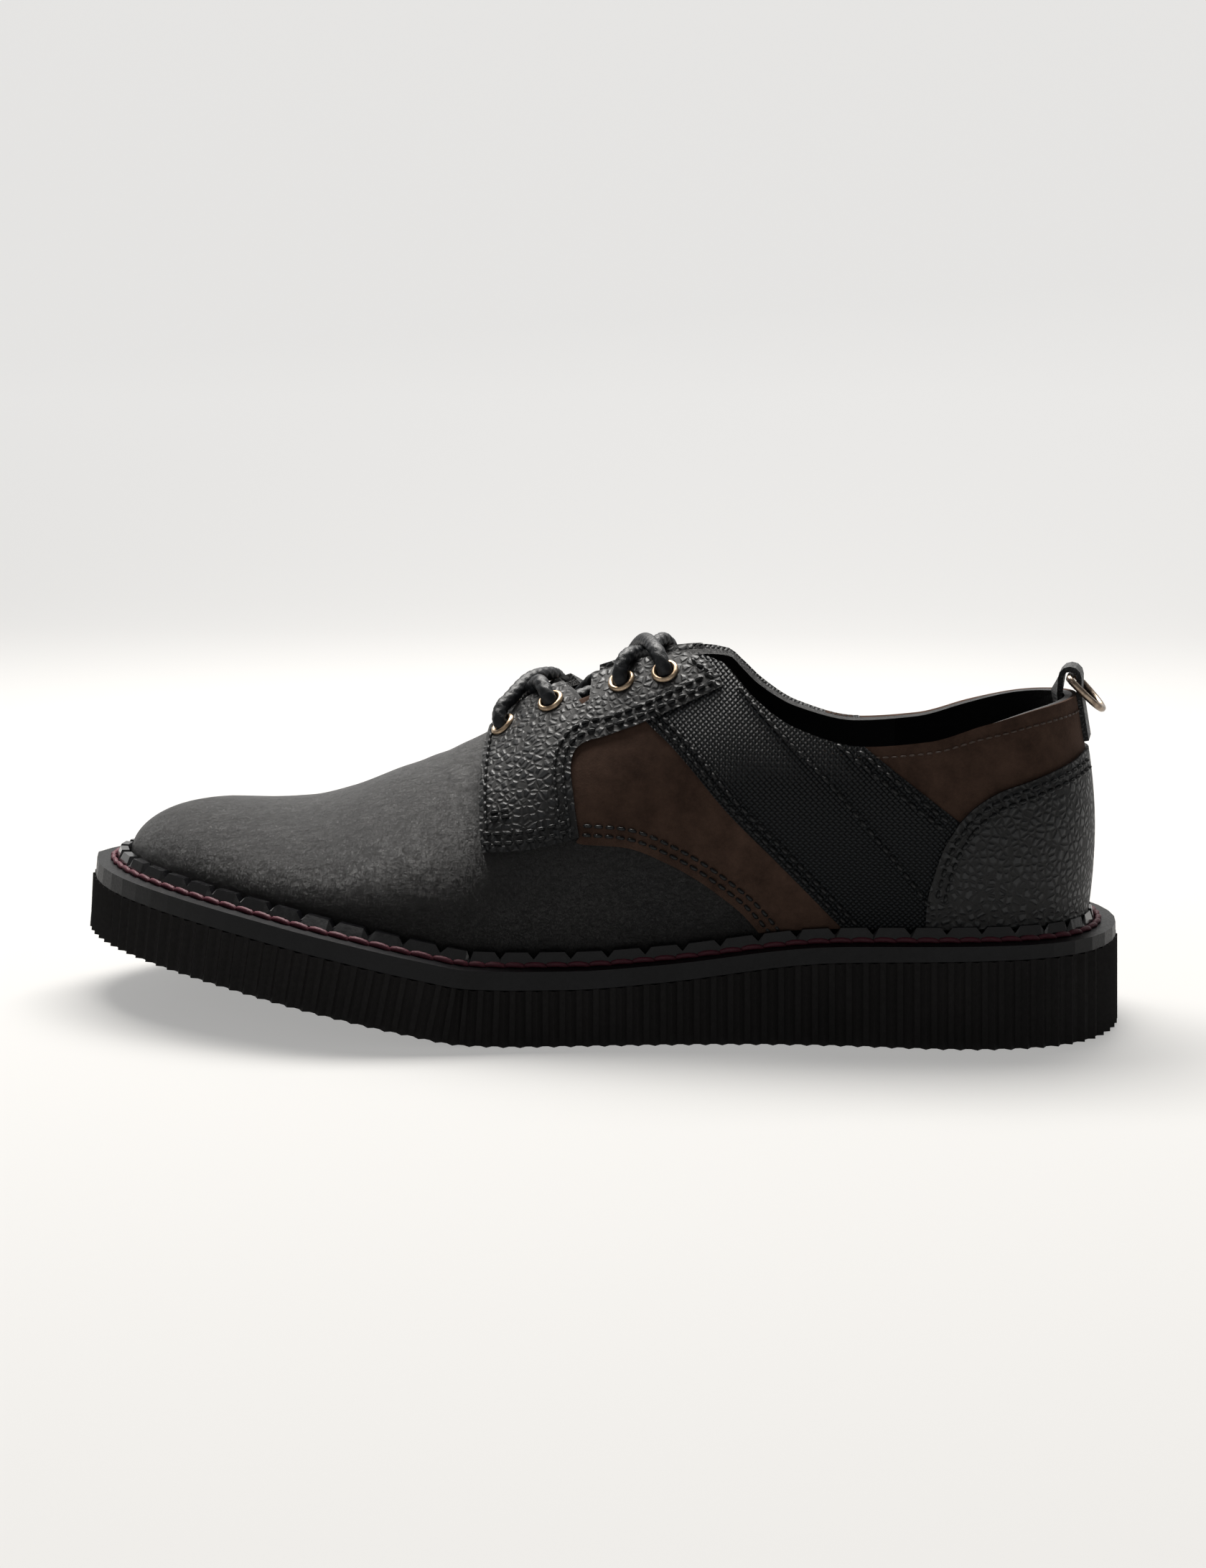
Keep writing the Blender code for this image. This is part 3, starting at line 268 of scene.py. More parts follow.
def closed_curve(points):
    """A smooth closed curve through the points, read by the distance along its chords."""
    knots = np.array(points, float)
    count = len(knots)
    chord = np.linalg.norm(np.roll(knots, -1, 0) - knots, axis=1)
    system = np.zeros((count, count))
    bend = np.zeros((count, 2))
    for i in range(count):
        before = chord[i - 1]
        after = chord[i]
        system[i, i - 1] += before
        system[i, i] += 2 * (before + after)
        system[i, (i + 1) % count] += after
        bend[i] = 6 * ((knots[(i + 1) % count] - knots[i]) / after - (knots[i] - knots[i - 1]) / before)
    curve = np.linalg.solve(system, bend)
    start = np.concatenate([[0], np.cumsum(chord)])

    def value(distance):
        distance = distance % start[-1]
        i = min(int(np.searchsorted(start, distance, side="right")) - 1, count - 1)
        span = chord[i]
        left = start[i + 1] - distance
        right = distance - start[i]
        j = (i + 1) % count
        return (
            (curve[i] * left**3 + curve[j] * right**3) / (6 * span)
            + (knots[i] / span - curve[i] * span / 6) * left
            + (knots[j] / span - curve[j] * span / 6) * right
        )

    return value, start


# The sole's form

def outline_knots():
    outer = [(along * SOLE_LENGTH, -out * width) for along, out, _, width in OUTLINE]
    inner = [(along * SOLE_LENGTH, into * width) for along, _, into, width in OUTLINE]
    tip = (SOLE_LENGTH, TOE_TIP_SIDE * BALL_WIDTH)
    return [(0.0, 0.0)] + outer + [tip] + inner[::-1]


OUTLINE_AT, OUTLINE_STARTS = closed_curve(outline_knots())
OUTLINE_TURN = OUTLINE_STARTS[-1]
OUTLINE_TIP = OUTLINE_STARTS[len(OUTLINE) + 1]

underside = track([(along * SOLE_LENGTH, rise * TOE_SPRING) for along, rise in SPRING])
tread_height = track([
    (along * SOLE_LENGTH, TREAD_FRONT + part * (TREAD_HEEL - TREAD_FRONT)) for along, part in TREAD
])


def band_height(a):
    part = min(1.0, a / (SOLE_LENGTH / 2))
    return BAND_HEEL + part * (BAND_FRONT - BAND_HEEL)


def midsole_floor(a):
    return tread_height(a) + CLEARANCE


def midsole_top(a):
    return midsole_floor(a) + band_height(a)


def outline_point(distance, inset=0.0):
    """(a, y) on the sole's outline, moved inwards by the inset."""
    step = 1e-4
    here = OUTLINE_AT(distance)
    ahead = OUTLINE_AT(distance + step) - OUTLINE_AT(distance - step)
    ahead /= np.linalg.norm(ahead)
    inwards = np.array([-ahead[1], ahead[0]])
    return here + inset * inwards


def bent(a, y, w):
    """World point of a place given along, across and square to the sprung sole."""
    step = 1e-3
    slope = math.atan((underside(a + step) - underside(a - step)) / (2 * step))
    return Vector((
        HEEL_X - a + w * math.sin(slope),
        y - MIDDLE_Y,
        underside(a) + w * math.cos(slope),
    ))


def sole_middle():
    """World X of the heel end and the y of the sole's middle, so that its box stands on the origin."""
    reach = []
    for i in range(720):
        a, y = outline_point(OUTLINE_TURN * i / 720, -RIB_PROUD)
        reach.append((-a, y))
    low = np.min(reach, axis=0)
    high = np.max(reach, axis=0)
    return -(low[0] + high[0]) / 2, (low[1] + high[1]) / 2


HEEL_X, MIDDLE_Y = sole_middle()


def outline_run():
    """Chord distances round the outline and the length covered at each."""
    fine = [OUTLINE_TURN * i / OUTLINE_SAMPLES for i in range(OUTLINE_SAMPLES + 1)]
    points = np.array([OUTLINE_AT(d) for d in fine])
    return fine, np.concatenate([[0], np.cumsum(np.linalg.norm(np.diff(points, axis=0), axis=1))])


RUN_DISTANCES, RUN_LENGTHS = outline_run()
OUTLINE_LENGTH = RUN_LENGTHS[-1]


def even_distance(share):
    """Chord distance at this share of the outline's length from the heel end."""
    return float(np.interp(OUTLINE_LENGTH * (share % 1.0), RUN_LENGTHS, RUN_DISTANCES))


# The upper's form

SECTION_COLUMNS = {
    "half width": track([(row[0] * SOLE_LENGTH, row[1] * row[2]) for row in SECTIONS]),
    "height": track([(row[0] * SOLE_LENGTH, row[3] * row[4]) for row in SECTIONS]),
    "lean": track([(row[0] * SOLE_LENGTH, math.radians(row[5])) for row in SECTIONS]),
    "flare": track([(row[0] * SOLE_LENGTH, math.radians(row[6])) for row in SECTIONS]),
    "low": track([(row[0] * SOLE_LENGTH, row[7]) for row in SECTIONS]),
    "high": track([(row[0] * SOLE_LENGTH, row[8]) for row in SECTIONS]),
}
UPPER_INSET = WELT_MARGIN + WELT_WIDTH + CLEARANCE


def foot_distance(side, along):
    """Chord distance on one side of the outline where the upper's foot reaches this share along."""
    low = 0.0
    high = OUTLINE_TIP
    for _ in range(40):
        middle = (low + high) / 2
        if outline_point(side_distance(side, middle), UPPER_INSET)[0] < along * SOLE_LENGTH:
            low = middle
        else:
            high = middle
    return low


def side_distance(side, part):
    if side < 0:
        return part
    return OUTLINE_TURN - part * (OUTLINE_TURN - OUTLINE_TIP) / OUTLINE_TIP


class Rib:
    """One line of the upper from its foot on the sole to its top edge, on one side."""

    def __init__(self, side, part):
        a, y = outline_point(side_distance(side, part), UPPER_INSET)
        value = {name: column(a) for name, column in SECTION_COLUMNS.items()}
        half = value["half width"]
        centre_a = min(max(a, HEEL_CENTRE * SOLE_LENGTH), TOE_POLE * SOLE_LENGTH)
        ridge_y = ridge_side(centre_a)
        away = np.array([a - centre_a, y - ridge_y])
        if centre_a == a:
            away = np.array([0.0, side])
        away /= np.linalg.norm(away)
        top_a = centre_a + away[0] * half
        top_y = ridge_y + away[1] * half
        self.along = a / SOLE_LENGTH
        self.foot = bent(a, y, midsole_top(a) + CLEARANCE)
        self.top = Vector((HEEL_X - top_a, top_y - MIDDLE_Y, value["height"]))
        outwards = outline_point(side_distance(side, part)) - np.array([a, y])
        outwards /= np.linalg.norm(outwards)
        flare = value["flare"]
        lean = value["lean"]
        out = Vector((-outwards[0], outwards[1], 0))
        back = Vector((away[0], -away[1], 0))
        rise = self.top.z - self.foot.z
        reach = math.hypot(self.top.x - self.foot.x, self.top.y - self.foot.y)
        low_pull = value["low"] * rise
        high_pull = value["high"] * (math.sin(lean) * reach + math.cos(lean) * rise)
        self.low = self.foot + low_pull * (math.sin(flare) * out + math.cos(flare) * Vector((0, 0, 1)))
        self.high = self.top - high_pull * (math.sin(lean) * back + math.cos(lean) * Vector((0, 0, 1)))

    def point(self, t):
        s = 1 - t
        return s**3 * self.foot + 3 * s * s * t * self.low + 3 * s * t * t * self.high + t**3 * self.top


def ridge_side(a):
    """How far the instep ridge lies to the inner side: none at the heel, all of it from the throat on."""
    part = min(max((a / SOLE_LENGTH - 0.30) / 0.30, 0.0), 1.0)
    return RIDGE_SIDE * BALL_WIDTH * part * part * (3 - 2 * part)


def surface_point(side, part, t):
    return Rib(side, part).point(t)


def surface_normal(side, part, t):
    """The upper's outward normal."""
    t = min(max(t, 0.001), 0.985)
    step = 4e-4
    before = surface_point(side, max(part - step, 0), t)
    after = surface_point(side, min(part + step, OUTLINE_TIP), t)
    if part < step:
        across = Vector((0, side, 0))
    elif part > OUTLINE_TIP - step:
        across = Vector((0, -side, 0))
    else:
        across = after - before
    rise = surface_point(side, part, t + 0.001) - surface_point(side, part, t - 0.001)
    return (side * across.cross(rise)).normalized()


# Materials

class Finish:
    """A surface and its shader nodes, all of them laid out in the piece's own coordinates."""

    def __init__(self, name, colour, roughness, metallic=0.0, **values):
        self.material = bpy.data.materials.new(name)
        self.material.use_nodes = True
        self.tree = self.material.node_tree
        self.shader = self.tree.nodes["Principled BSDF"]
        values.update(Base_Color=(*colour, 1), Roughness=roughness, Metallic=metallic)
        for key, value in values.items():
            self.shader.inputs[key.replace("_", " ")].default_value = value
        self.where = self.node("TexCoord").outputs["Object"]

    def node(self, kind, links=None, **settings):
        """A shader node; links holds values or other nodes' outputs by input name or index."""
        made = self.tree.nodes.new("ShaderNode" + kind)
        for name, value in settings.items():
            setattr(made, name, value)
        for name, value in (links or {}).items():
            if isinstance(value, bpy.types.NodeSocket):
                self.tree.links.new(value, made.inputs[name])
            else:
                made.inputs[name].default_value = value
        return made

    def into(self, socket, value):
        self.tree.links.new(value, self.shader.inputs[socket])

    def noise(self, scale, detail=4.0, rough=0.55, where=None):
        links = {"Vector": where or self.where, "Scale": scale, "Detail": detail, "Roughness": rough}
        return self.node("TexNoise", links).outputs["Fac"]

    def tints(self, scale):
        return self.node("TexNoise", {"Vector": self.where, "Scale": scale}).outputs["Color"]

    def spread(self, value, low, high, out_low=0.0, out_high=1.0, **settings):
        links = {"Value": value, "From Min": low, "From Max": high, "To Min": out_low, "To Max": out_high}
        return self.node("MapRange", links, **settings).outputs["Result"]

    def maths(self, operation, first, second=0.0):
        return self.node("Math", {0: first, 1: second}, operation=operation).outputs[0]

    def vectors(self, operation, *values):
        return self.node("VectorMath", dict(enumerate(values)), operation=operation).outputs[0]

    def edges(self, where, scale):
        """Distance to the nearest border of a field of cells."""
        links = {"Vector": where, "Scale": scale}
        return self.node("TexVoronoi", links, feature="DISTANCE_TO_EDGE").outputs["Distance"]

    def colours(self, share, first, second):
        links = {0: share, 6: (*first, 1), 7: (*second, 1)}
        self.into("Base Color", self.node("Mix", links, data_type="RGBA").outputs[2])

    def bump(self, height, distance, strength=1.0, under=None):
        links = {"Height": height, "Distance": distance, "Strength": strength}
        if under is not None:
            links["Normal"] = under
        made = self.node("Bump", links).outputs["Normal"]
        self.into("Normal", made)
        return made


def smooth_leather():
    made = Finish("black_leather", (0.005, 0.005, 0.006), 0.42, Specular_IOR_Level=0.30)
    made.colours(made.noise(45.0, 3.0), (0.0030, 0.0030, 0.0036), (0.0085, 0.0080, 0.0076))
    made.into("Roughness", made.spread(made.noise(160.0), 0.3, 0.7, 0.38, 0.50))
    tints = made.tints(300.0)
    uneven = made.vectors("MULTIPLY_ADD", made.where, tints, made.vectors("MULTIPLY", tints, (0.0008,) * 3))
    grain = made.bump(made.spread(made.edges(uneven, 1150.0), 0.0, 0.28), 0.00007, 0.8)
    rough = made.bump(made.noise(420.0, 5.0), 0.00024, 0.6, grain)
    links = {"Vector": made.where, "Rotation": (0, math.radians(38), 0), "Scale": (0.35, 1.0, 1.6)}
    wrinkles = made.noise(190.0, 3.0, 0.5, made.node("Mapping", links).outputs["Vector"])
    zones = made.spread(made.noise(22.0, 1.0), 0.42, 0.62)
    made.bump(made.maths("MULTIPLY", wrinkles, zones), 0.0011, 0.55, rough)
    return made.material


def pebbled_leather(name="pebbled_leather", scale=450.0, depth=0.00022):
    made = Finish(name, (0.005, 0.006, 0.007), 0.34, Specular_IOR_Level=0.34)
    shift = made.vectors("MULTIPLY", made.tints(170.0), (0.0009,) * 3)
    distance = made.edges(made.vectors("ADD", made.where, shift), scale)
    pebble_relief_and_shade = made.spread(distance, 0.0, 0.34, interpolation_type="SMOOTHERSTEP")
    # Painted shade and highlight: the colour is darkest in the creases between pebbles and lighter on their
    # tops; the same relief also sets roughness and bump.
    made.colours(pebble_relief_and_shade, (0.0010, 0.0011, 0.0013), (0.0065, 0.0075, 0.0088))
    made.into("Roughness", made.spread(pebble_relief_and_shade, 0.0, 1.0, 0.62, 0.38))
    made.bump(made.noise(1600.0, 3.0), 0.00005, 0.6, made.bump(pebble_relief_and_shade, depth))
    return made.material


def suede():
    made = Finish("brown_suede", (0.05, 0.028, 0.02), 0.96, Specular_IOR_Level=0.06, Sheen_Weight=0.12,
                  Sheen_Roughness=0.5, Sheen_Tint=(0.55, 0.36, 0.28, 1))
    nap = made.noise(110.0, 6.0, 0.72)
    fine = made.noise(1500.0, 3.0, 0.7)
    clouds = made.maths("MULTIPLY", made.spread(nap, 0.32, 0.68), 0.7)
    both = made.maths("ADD", clouds, made.maths("MULTIPLY", fine, 0.3))
    made.colours(both, (0.019, 0.0112, 0.0085), (0.062, 0.037, 0.027))
    made.bump(nap, 0.0005, 0.35, made.bump(fine, 0.00016, 0.9))
    return made.material


def woven_nylon():
    """Yarns that pass over and under each other along the panel's slant, with painted shade between them and
    painted highlights on their crowns.
    """
    made = Finish("black_nylon", (0.004, 0.005, 0.006), 0.5, Specular_IOR_Level=0.22)
    turn = (0, math.radians(WEAVE_ANGLE), 0)
    links = {"Vector": made.where, "Rotation": turn, "Scale": (1 / WEAVE_PITCH,) * 3}
    split = made.node("SeparateXYZ", {0: made.node("Mapping", links).outputs["Vector"]})
    shift = made.maths("MULTIPLY", made.noise(90.0, 2.0), 0.35)
    waves = [
        made.maths("SINE", made.maths("MULTIPLY", place, math.pi))
        for place in (made.maths("ADD", split.outputs["X"], shift), split.outputs["Z"])
    ]
    over = made.maths("GREATER_THAN", made.maths("MULTIPLY", *waves), 0.0)
    across, up = (made.maths("ABSOLUTE", wave) for wave in waves)
    yarn_dome_and_shade = made.maths("MULTIPLY", across, up)
    yarns = made.node("Mix", {0: over, 2: across, 3: up}, data_type="FLOAT").outputs[0]
    # Painted shade and highlight: the colour is darkest in the gaps between yarns and lighter on their
    # crowns; the same domes also give the bump.
    made.colours(made.spread(yarn_dome_and_shade, 0.05, 0.8), (0.0008, 0.0010, 0.0012), (0.0085, 0.0105, 0.0125))
    halves = made.maths("MULTIPLY", yarn_dome_and_shade, 0.7), made.maths("MULTIPLY", yarns, 0.5)
    made.bump(made.maths("ADD", *halves), 0.00042)
    return made.material


def rubber(name, colour, roughness, scale, depth, shine):
    made = Finish(name, colour, roughness, Specular_IOR_Level=shine)
    speck = made.noise(scale)
    made.colours(made.spread(made.noise(60.0), 0.35, 0.7), colour, tuple(1.7 * c for c in colour))
    made.into("Roughness", made.spread(speck, 0.3, 0.7, roughness - 0.06, roughness + 0.08))
    made.bump(speck, depth, 0.6)
    return made.material


def metal(name, dark, light, roughness):
    made = Finish(name, light, roughness, 1.0)
    made.colours(made.spread(made.noise(420.0), 0.35, 0.65), dark, light)
    made.into("Roughness", made.spread(made.noise(900.0), 0.3, 0.7, roughness - 0.06, roughness + 0.1))
    return made.material


def thread(name, dark, light, roughness=0.55):
    made = Finish(name, light, roughness, Specular_IOR_Level=0.25)
    strands = made.noise(2600.0, 2.0)
    made.colours(strands, dark, light)
    made.bump(strands, 0.00012, 0.8)
    return made.material


LEATHER = smooth_leather()
PEBBLED = pebbled_leather()
TAB_LEATHER = pebbled_leather("tab_leather", 900.0, 0.00016)
SUEDE = suede()
NYLON = woven_nylon()
RUBBER = rubber("sole_rubber", (0.0034, 0.0030, 0.0030), 0.60, 900.0, 0.00012, 0.13)
BAND = rubber("band_rubber", (0.0032, 0.0034, 0.0040), 0.42, 1300.0, 0.00005, 0.14)
WELT = rubber("welt_gloss", (0.003, 0.003, 0.0036), 0.15, 500.0, 0.00005, 0.75)
ROUGH_LINING = rubber("heel_lining", (0.0035, 0.0035, 0.0038), 0.93, 700.0, 0.0006, 0.1)
LINING = rubber("quarter_lining", (0.004, 0.004, 0.0045), 0.45, 300.0, 0.00008, 0.25)
BRASS = metal("antique_brass", (0.24, 0.17, 0.11), (0.56, 0.43, 0.30), 0.36)
BRONZE = metal("dark_bronze", (0.15, 0.11, 0.085), (0.36, 0.29, 0.22), 0.27)
CORD = thread("waxed_cord", (0.0012, 0.0014, 0.0018), (0.016, 0.018, 0.021), 0.44)
BLACK_THREAD = thread("black_thread", (0.0015, 0.0016, 0.0018), (0.013, 0.014, 0.015), 0.40)
BROWN_THREAD = thread("brown_thread", (0.020, 0.013, 0.010), (0.075, 0.052, 0.040))
WINE_THREAD = thread("burgundy_thread", (0.030, 0.006, 0.010), (0.105, 0.022, 0.036))


# Meshes

def add_mesh(name, points, faces, surfaces, indices=None):
    mesh = bpy.data.meshes.new(name)
    mesh.from_pydata([tuple(p) for p in points], [], faces)
    for surface in surfaces:
        mesh.materials.append(surface)
    if indices is not None:
        mesh.polygons.foreach_set("material_index", indices)
    obj = bpy.data.objects.new(name, mesh)
    bpy.context.scene.collection.objects.link(obj)
    return obj


def settled(obj, angle=40):
    """The piece with its modifiers applied, shaded smooth but for its sharp edges."""
    bpy.context.view_layer.update()
    mesh = bpy.data.meshes.new_from_object(obj.evaluated_get(bpy.context.evaluated_depsgraph_get()))
    obj.modifiers.clear()
    obj.data = mesh
    mesh.shade_smooth()
    mesh.set_sharp_from_angle(angle=math.radians(angle))
    return obj


def boolean(obj, operation, other):
    modifier = obj.modifiers.new(operation.title(), "BOOLEAN")
    modifier.operation = operation
    modifier.object = other
    modifier.solver = "EXACT"
    return obj


def rounded_edges(obj, width, segments=2, angle=40):
    modifier = obj.modifiers.new("Bevel", "BEVEL")
    modifier.width = width
    modifier.segments = segments
    modifier.limit_method = "ANGLE"
    modifier.angle_limit = math.radians(angle)
    modifier.harden_normals = True
    return obj


class Skin:
    """The upper's surface as a fine grid on both sides, with normals and shared seams."""

    def __init__(self):
        body = np.linspace(HEEL_CENTRE, THROAT_FRONT, BODY_COLUMNS + 1)[:-1]
        vamp = np.linspace(THROAT_FRONT, TOE_POLE, VAMP_COLUMNS + 1)
        self.alongs = {}
        self.throat = FAN_COLUMNS + BODY_COLUMNS
        self.pole = self.throat + VAMP_COLUMNS
        self.last = self.pole + FAN_COLUMNS
        t = np.linspace(0, 1, GRID_ROWS + 1)[:, None]
        s = 1 - t
        grids = {}
        normals = {}
        for name, side in SIDES.items():
            fixed = [foot_distance(side, along) for along in np.concatenate([body, vamp])]
            parts = [fixed[0] * i / FAN_COLUMNS for i in range(FAN_COLUMNS)] + fixed
            left = OUTLINE_TIP - fixed[-1]
            parts += [fixed[-1] + left * i / FAN_COLUMNS for i in range(1, FAN_COLUMNS + 1)]
            grid = []
            for part in parts:
                rib = Rib(side, part)
                foot, low, high, top = (np.array(v) for v in (rib.foot, rib.low, rib.high, rib.top))
                grid.append(s**3 * foot + 3 * s * s * t * low + 3 * s * t * t * high + t**3 * top)
            grid = np.array(grid)
            grids[name] = grid
            normal = side * np.cross(np.gradient(grid, axis=0), np.gradient(grid, axis=1))
            normal[self.pole:, -1] = normal[self.pole - 1, -1]
            normals[name] = normal / np.linalg.norm(normal, axis=2, keepdims=True)
        ends = np.full(FAN_COLUMNS, HEEL_CENTRE), np.full(FAN_COLUMNS, TOE_POLE)
        self.columns = np.concatenate([ends[0], body, vamp, ends[1]])
        self.points = []
        self.normals = []
        self.index = {}
        shared = {}
        for name in SIDES:
            for c in range(self.last + 1):
                for r in range(GRID_ROWS + 1):
                    key = self.key(name, c, r)
                    if key not in shared:
                        shared[key] = len(self.points)
                        self.points.append(grids[name][c, r])
                        self.normals.append(normals[name][c, r].copy())
                    elif r < GRID_ROWS or c <= self.pole:
                        self.normals[shared[key]] += normals[name][c, r]
                    self.index[name, c, r] = shared[key]
        self.points = np.array(self.points)
        self.normals = np.array(self.normals)
        self.normals /= np.linalg.norm(self.normals, axis=1, keepdims=True)

    def key(self, name, c, r):
        if r == GRID_ROWS and c >= self.throat:
            return "ridge", min(c, self.pole)
        if c in (0, self.last):
            return "middle", c, r
        return name, c, r

    def column(self, along):
        """The last column of the body or vamp at or before this share along."""
        inner = self.columns[FAN_COLUMNS:self.pole + 1]
        return FAN_COLUMNS + int(np.searchsorted(inner, along, side="right")) - 1

    def layer(self, name, surfaces, sides, columns, rows, outer, inner, pick=None):
        """A closed wall over part of the grid; pick gives the material index of inner faces by column."""
        quads = []
        marks = []
        for side in sides:
            for c in range(*columns):
                for r in range(*rows):
                    corners = (c, r + 1), (c, r), (c + 1, r), (c + 1, r + 1)
                    quad = [self.index[side, i, j] for i, j in corners]
                    if side == "lateral":
                        quad = quad[::-1]
                    quad = [q for k, q in enumerate(quad) if q != quad[k - 1]]
                    if len(quad) > 2:
                        quads.append(quad)
                        marks.append(pick(c) if pick else 0)
        used = sorted({q for quad in quads for q in quad})
        renumber = {q: i for i, q in enumerate(used)}
        count = len(used)
        points = np.concatenate([
            self.points[used] + outer * self.normals[used], self.points[used] + inner * self.normals[used],
        ])
        faces = []
        edges = {}
        indices = []
        for quad, mark in zip(quads, marks):
            face = [renumber[q] for q in quad]
            faces.append(face)
            indices.append(0)
            faces.append([i + count for i in reversed(face)])
            indices.append(mark)
            for k in range(len(face)):
                edges[face[k], face[(k + 1) % len(face)]] = True
        for start, end in edges:
            if (end, start) not in edges:
                faces.append([end, start, start + count, end + count])
                indices.append(0)
        return add_mesh(name, points, faces, surfaces, indices)


SKIN = Skin()

# Soft creases of the vamp: share along at the foot and at the ridge, lowest and highest part up the
# wall, half width along and depth
CREASES = (
    (0.655, 0.640, 0.30, 1.00, 0.010, 0.00035),
    (0.690, 0.668, 0.25, 0.95, 0.012, 0.00030),
    (0.628, 0.606, 0.30, 0.72, 0.008, 0.00040),
    (0.560, 0.606, 0.05, 0.45, 0.014, 0.00035),
)


def crease_skin():
    for name in SIDES:
        for c in range(FAN_COLUMNS, SKIN.pole):
            along = SKIN.columns[c]
            for r in range(GRID_ROWS + 1):
                t = r / GRID_ROWS
                depth = 0.0
                for foot, ridge, low, high, width, deep in CREASES:
                    line = foot + (ridge - foot) * t
                    fade = min(max((t - low) / 0.15, 0), 1) * min(max((high - t) / 0.15 + 1, 0), 1)
                    depth += deep * fade * math.exp(-((along - line) / width) ** 2)
                if depth:
                    i = SKIN.index[name, c, r]
                    shared = r == GRID_ROWS and c >= SKIN.throat
                    SKIN.points[i] = SKIN.points[i] - depth * (0.5 if shared else 1) * SKIN.normals[i]


crease_skin()


# Seams and outlines, as seen from the side

def seam(points, steps=8):
    knots = [np.array(p, float) for p in points]
    knots = [2 * knots[0] - knots[1]] + knots + [2 * knots[-1] - knots[-2]]
    line = []
    for i in range(1, len(knots) - 2):
        before, start, end, after = knots[i - 1:i + 3]
        for k in range(steps):
            t = k / steps
            line.append(0.5 * (
                2 * start + (end - before) * t + (2 * before - 5 * start + 4 * end - after) * t * t
                + (3 * start - before - 3 * end + after) * t**3
            ))
    line.append(knots[-2])
    return line


def seam_height(along):
    """What seam heights are shares of: the collar's height, then the instep's over a short blend."""
    part = min(max((along - COLLAR_END) / (INSTEP_START - COLLAR_END), 0.0), 1.0)
    return COLLAR_HEIGHT + part * (SEAM_SHARE * INSTEP_HEIGHT - COLLAR_HEIGHT)


def side_place(share):
    return np.array([HEEL_X - share[0] * SOLE_LENGTH, share[1] * seam_height(share[0])])


def prism(name, outline, near, far):
    points = [side_place(p) for p in outline]
    points = [p for i, p in enumerate(points) if np.linalg.norm(p - points[i - 1]) > 1e-5]
    bm = bmesh.new()
    face = bm.faces.new([bm.verts.new((x, near, z)) for x, z in points])
    made = bmesh.ops.extrude_face_region(bm, geom=[face])
    for item in made["geom"]:
        if isinstance(item, bmesh.types.BMVert):
            item.co.y = far
    bmesh.ops.triangulate(bm, faces=bm.faces[:])
    bmesh.ops.recalc_face_normals(bm, faces=bm.faces[:])
    mesh = bpy.data.meshes.new(name)
    bm.to_mesh(mesh)
    bm.free()
    obj = bpy.data.objects.new(name, mesh)
    bpy.context.scene.collection.objects.link(obj)
    return obj


def facing_place(name, along, below):
    side = SIDES[name]
    part = foot_distance(side, along)
    rib = Rib(side, part)
    t = 1.0
    while (rib.point(t) - rib.top).length < below:
        t -= 0.002
    return rib.point(t), surface_normal(side, part, t)


def turned(axis):
    return Vector((0, 0, 1)).rotation_difference(axis).to_matrix().to_4x4()


def throat_cutter():
    cutter = prism("throat_cutter", NOTCH, -BALL_WIDTH / 3, BALL_WIDTH / 3)
    bm = bmesh.new()
    bm.from_mesh(cutter.data)
    for name in SIDES:
        for along, below in EYELETS:
            centre, axis = facing_place(name, along, below)
            made = bmesh.ops.create_cone(
                bm, cap_ends=True, segments=32, radius1=EYELET_BARREL + CLEARANCE,
                radius2=EYELET_BARREL + CLEARANCE, depth=BORE_LENGTH,
            )
            matrix = turned(axis)
            matrix.translation = centre
            bmesh.ops.transform(bm, matrix=matrix, verts=made["verts"])
    bm.to_mesh(cutter.data)
    bm.free()
    return cutter


EYESTAY_EDGE = [
    point for line in (EYESTAY_FRONT, EYESTAY_FOOT, EYESTAY_REAR, EYESTAY_BAND, EYESTAY_END)
    for point in seam(line)
]
QUARTER_EDGE = seam(VAMP_SEAM) + [
    (0.20, 0.25), (0.27, 0.50), (0.33, 0.70), (0.40, 0.90), (0.43, 0.97), (0.47, 1.02), (0.56, 0.90),
    (0.56, 0.70), (0.545, 0.61),
]
COLLAR_EDGE = [
    (0.345, 1.20), (0.320, 1.04), (0.262, 0.86), (0.160, 0.60), (0.150, 0.62), (0.120, 0.70),
    (0.088, 0.73), (0.030, 0.79), (-0.02, 0.80), (-0.02, 1.20),
]
FABRIC_EDGE = seam(FABRIC_FRONT)[::-1] + [
    (0.447, 0.96), (0.420, 1.00), (0.395, 1.045), (0.400, 1.09), (0.412, 1.30), (0.300, 1.30),
] + seam(FABRIC_REAR) + [(0.140, 0.62), (0.158, 0.50), (0.165, 0.25)]
COUNTER_EDGE = seam(COUNTER_FRONT)[::-1] + seam(COUNTER_TOP) + [(-0.020, 0.250)]
PANELS = (
    # node, surface, slot, outline, first and last share along, outer face, cut by the throat
    ("quarter_front", SUEDE, "suede", QUARTER_EDGE, 0.19, 0.575, SUEDE_THICKNESS + QUARTER_LIFT, False),
    ("collar_panel", SUEDE, "suede", COLLAR_EDGE, None, 0.345, SUEDE_THICKNESS + COLLAR_LIFT, False),
    ("quarter_middle", NYLON, "woven_nylon", FABRIC_EDGE, 0.13, 0.47, FABRIC_THICKNESS + FABRIC_LIFT, False),
    ("eyestay", PEBBLED, "pebbled_leather", EYESTAY_EDGE, 0.335, 0.64, EYESTAY_THICKNESS + EYESTAY_LIFT,
     True),
)


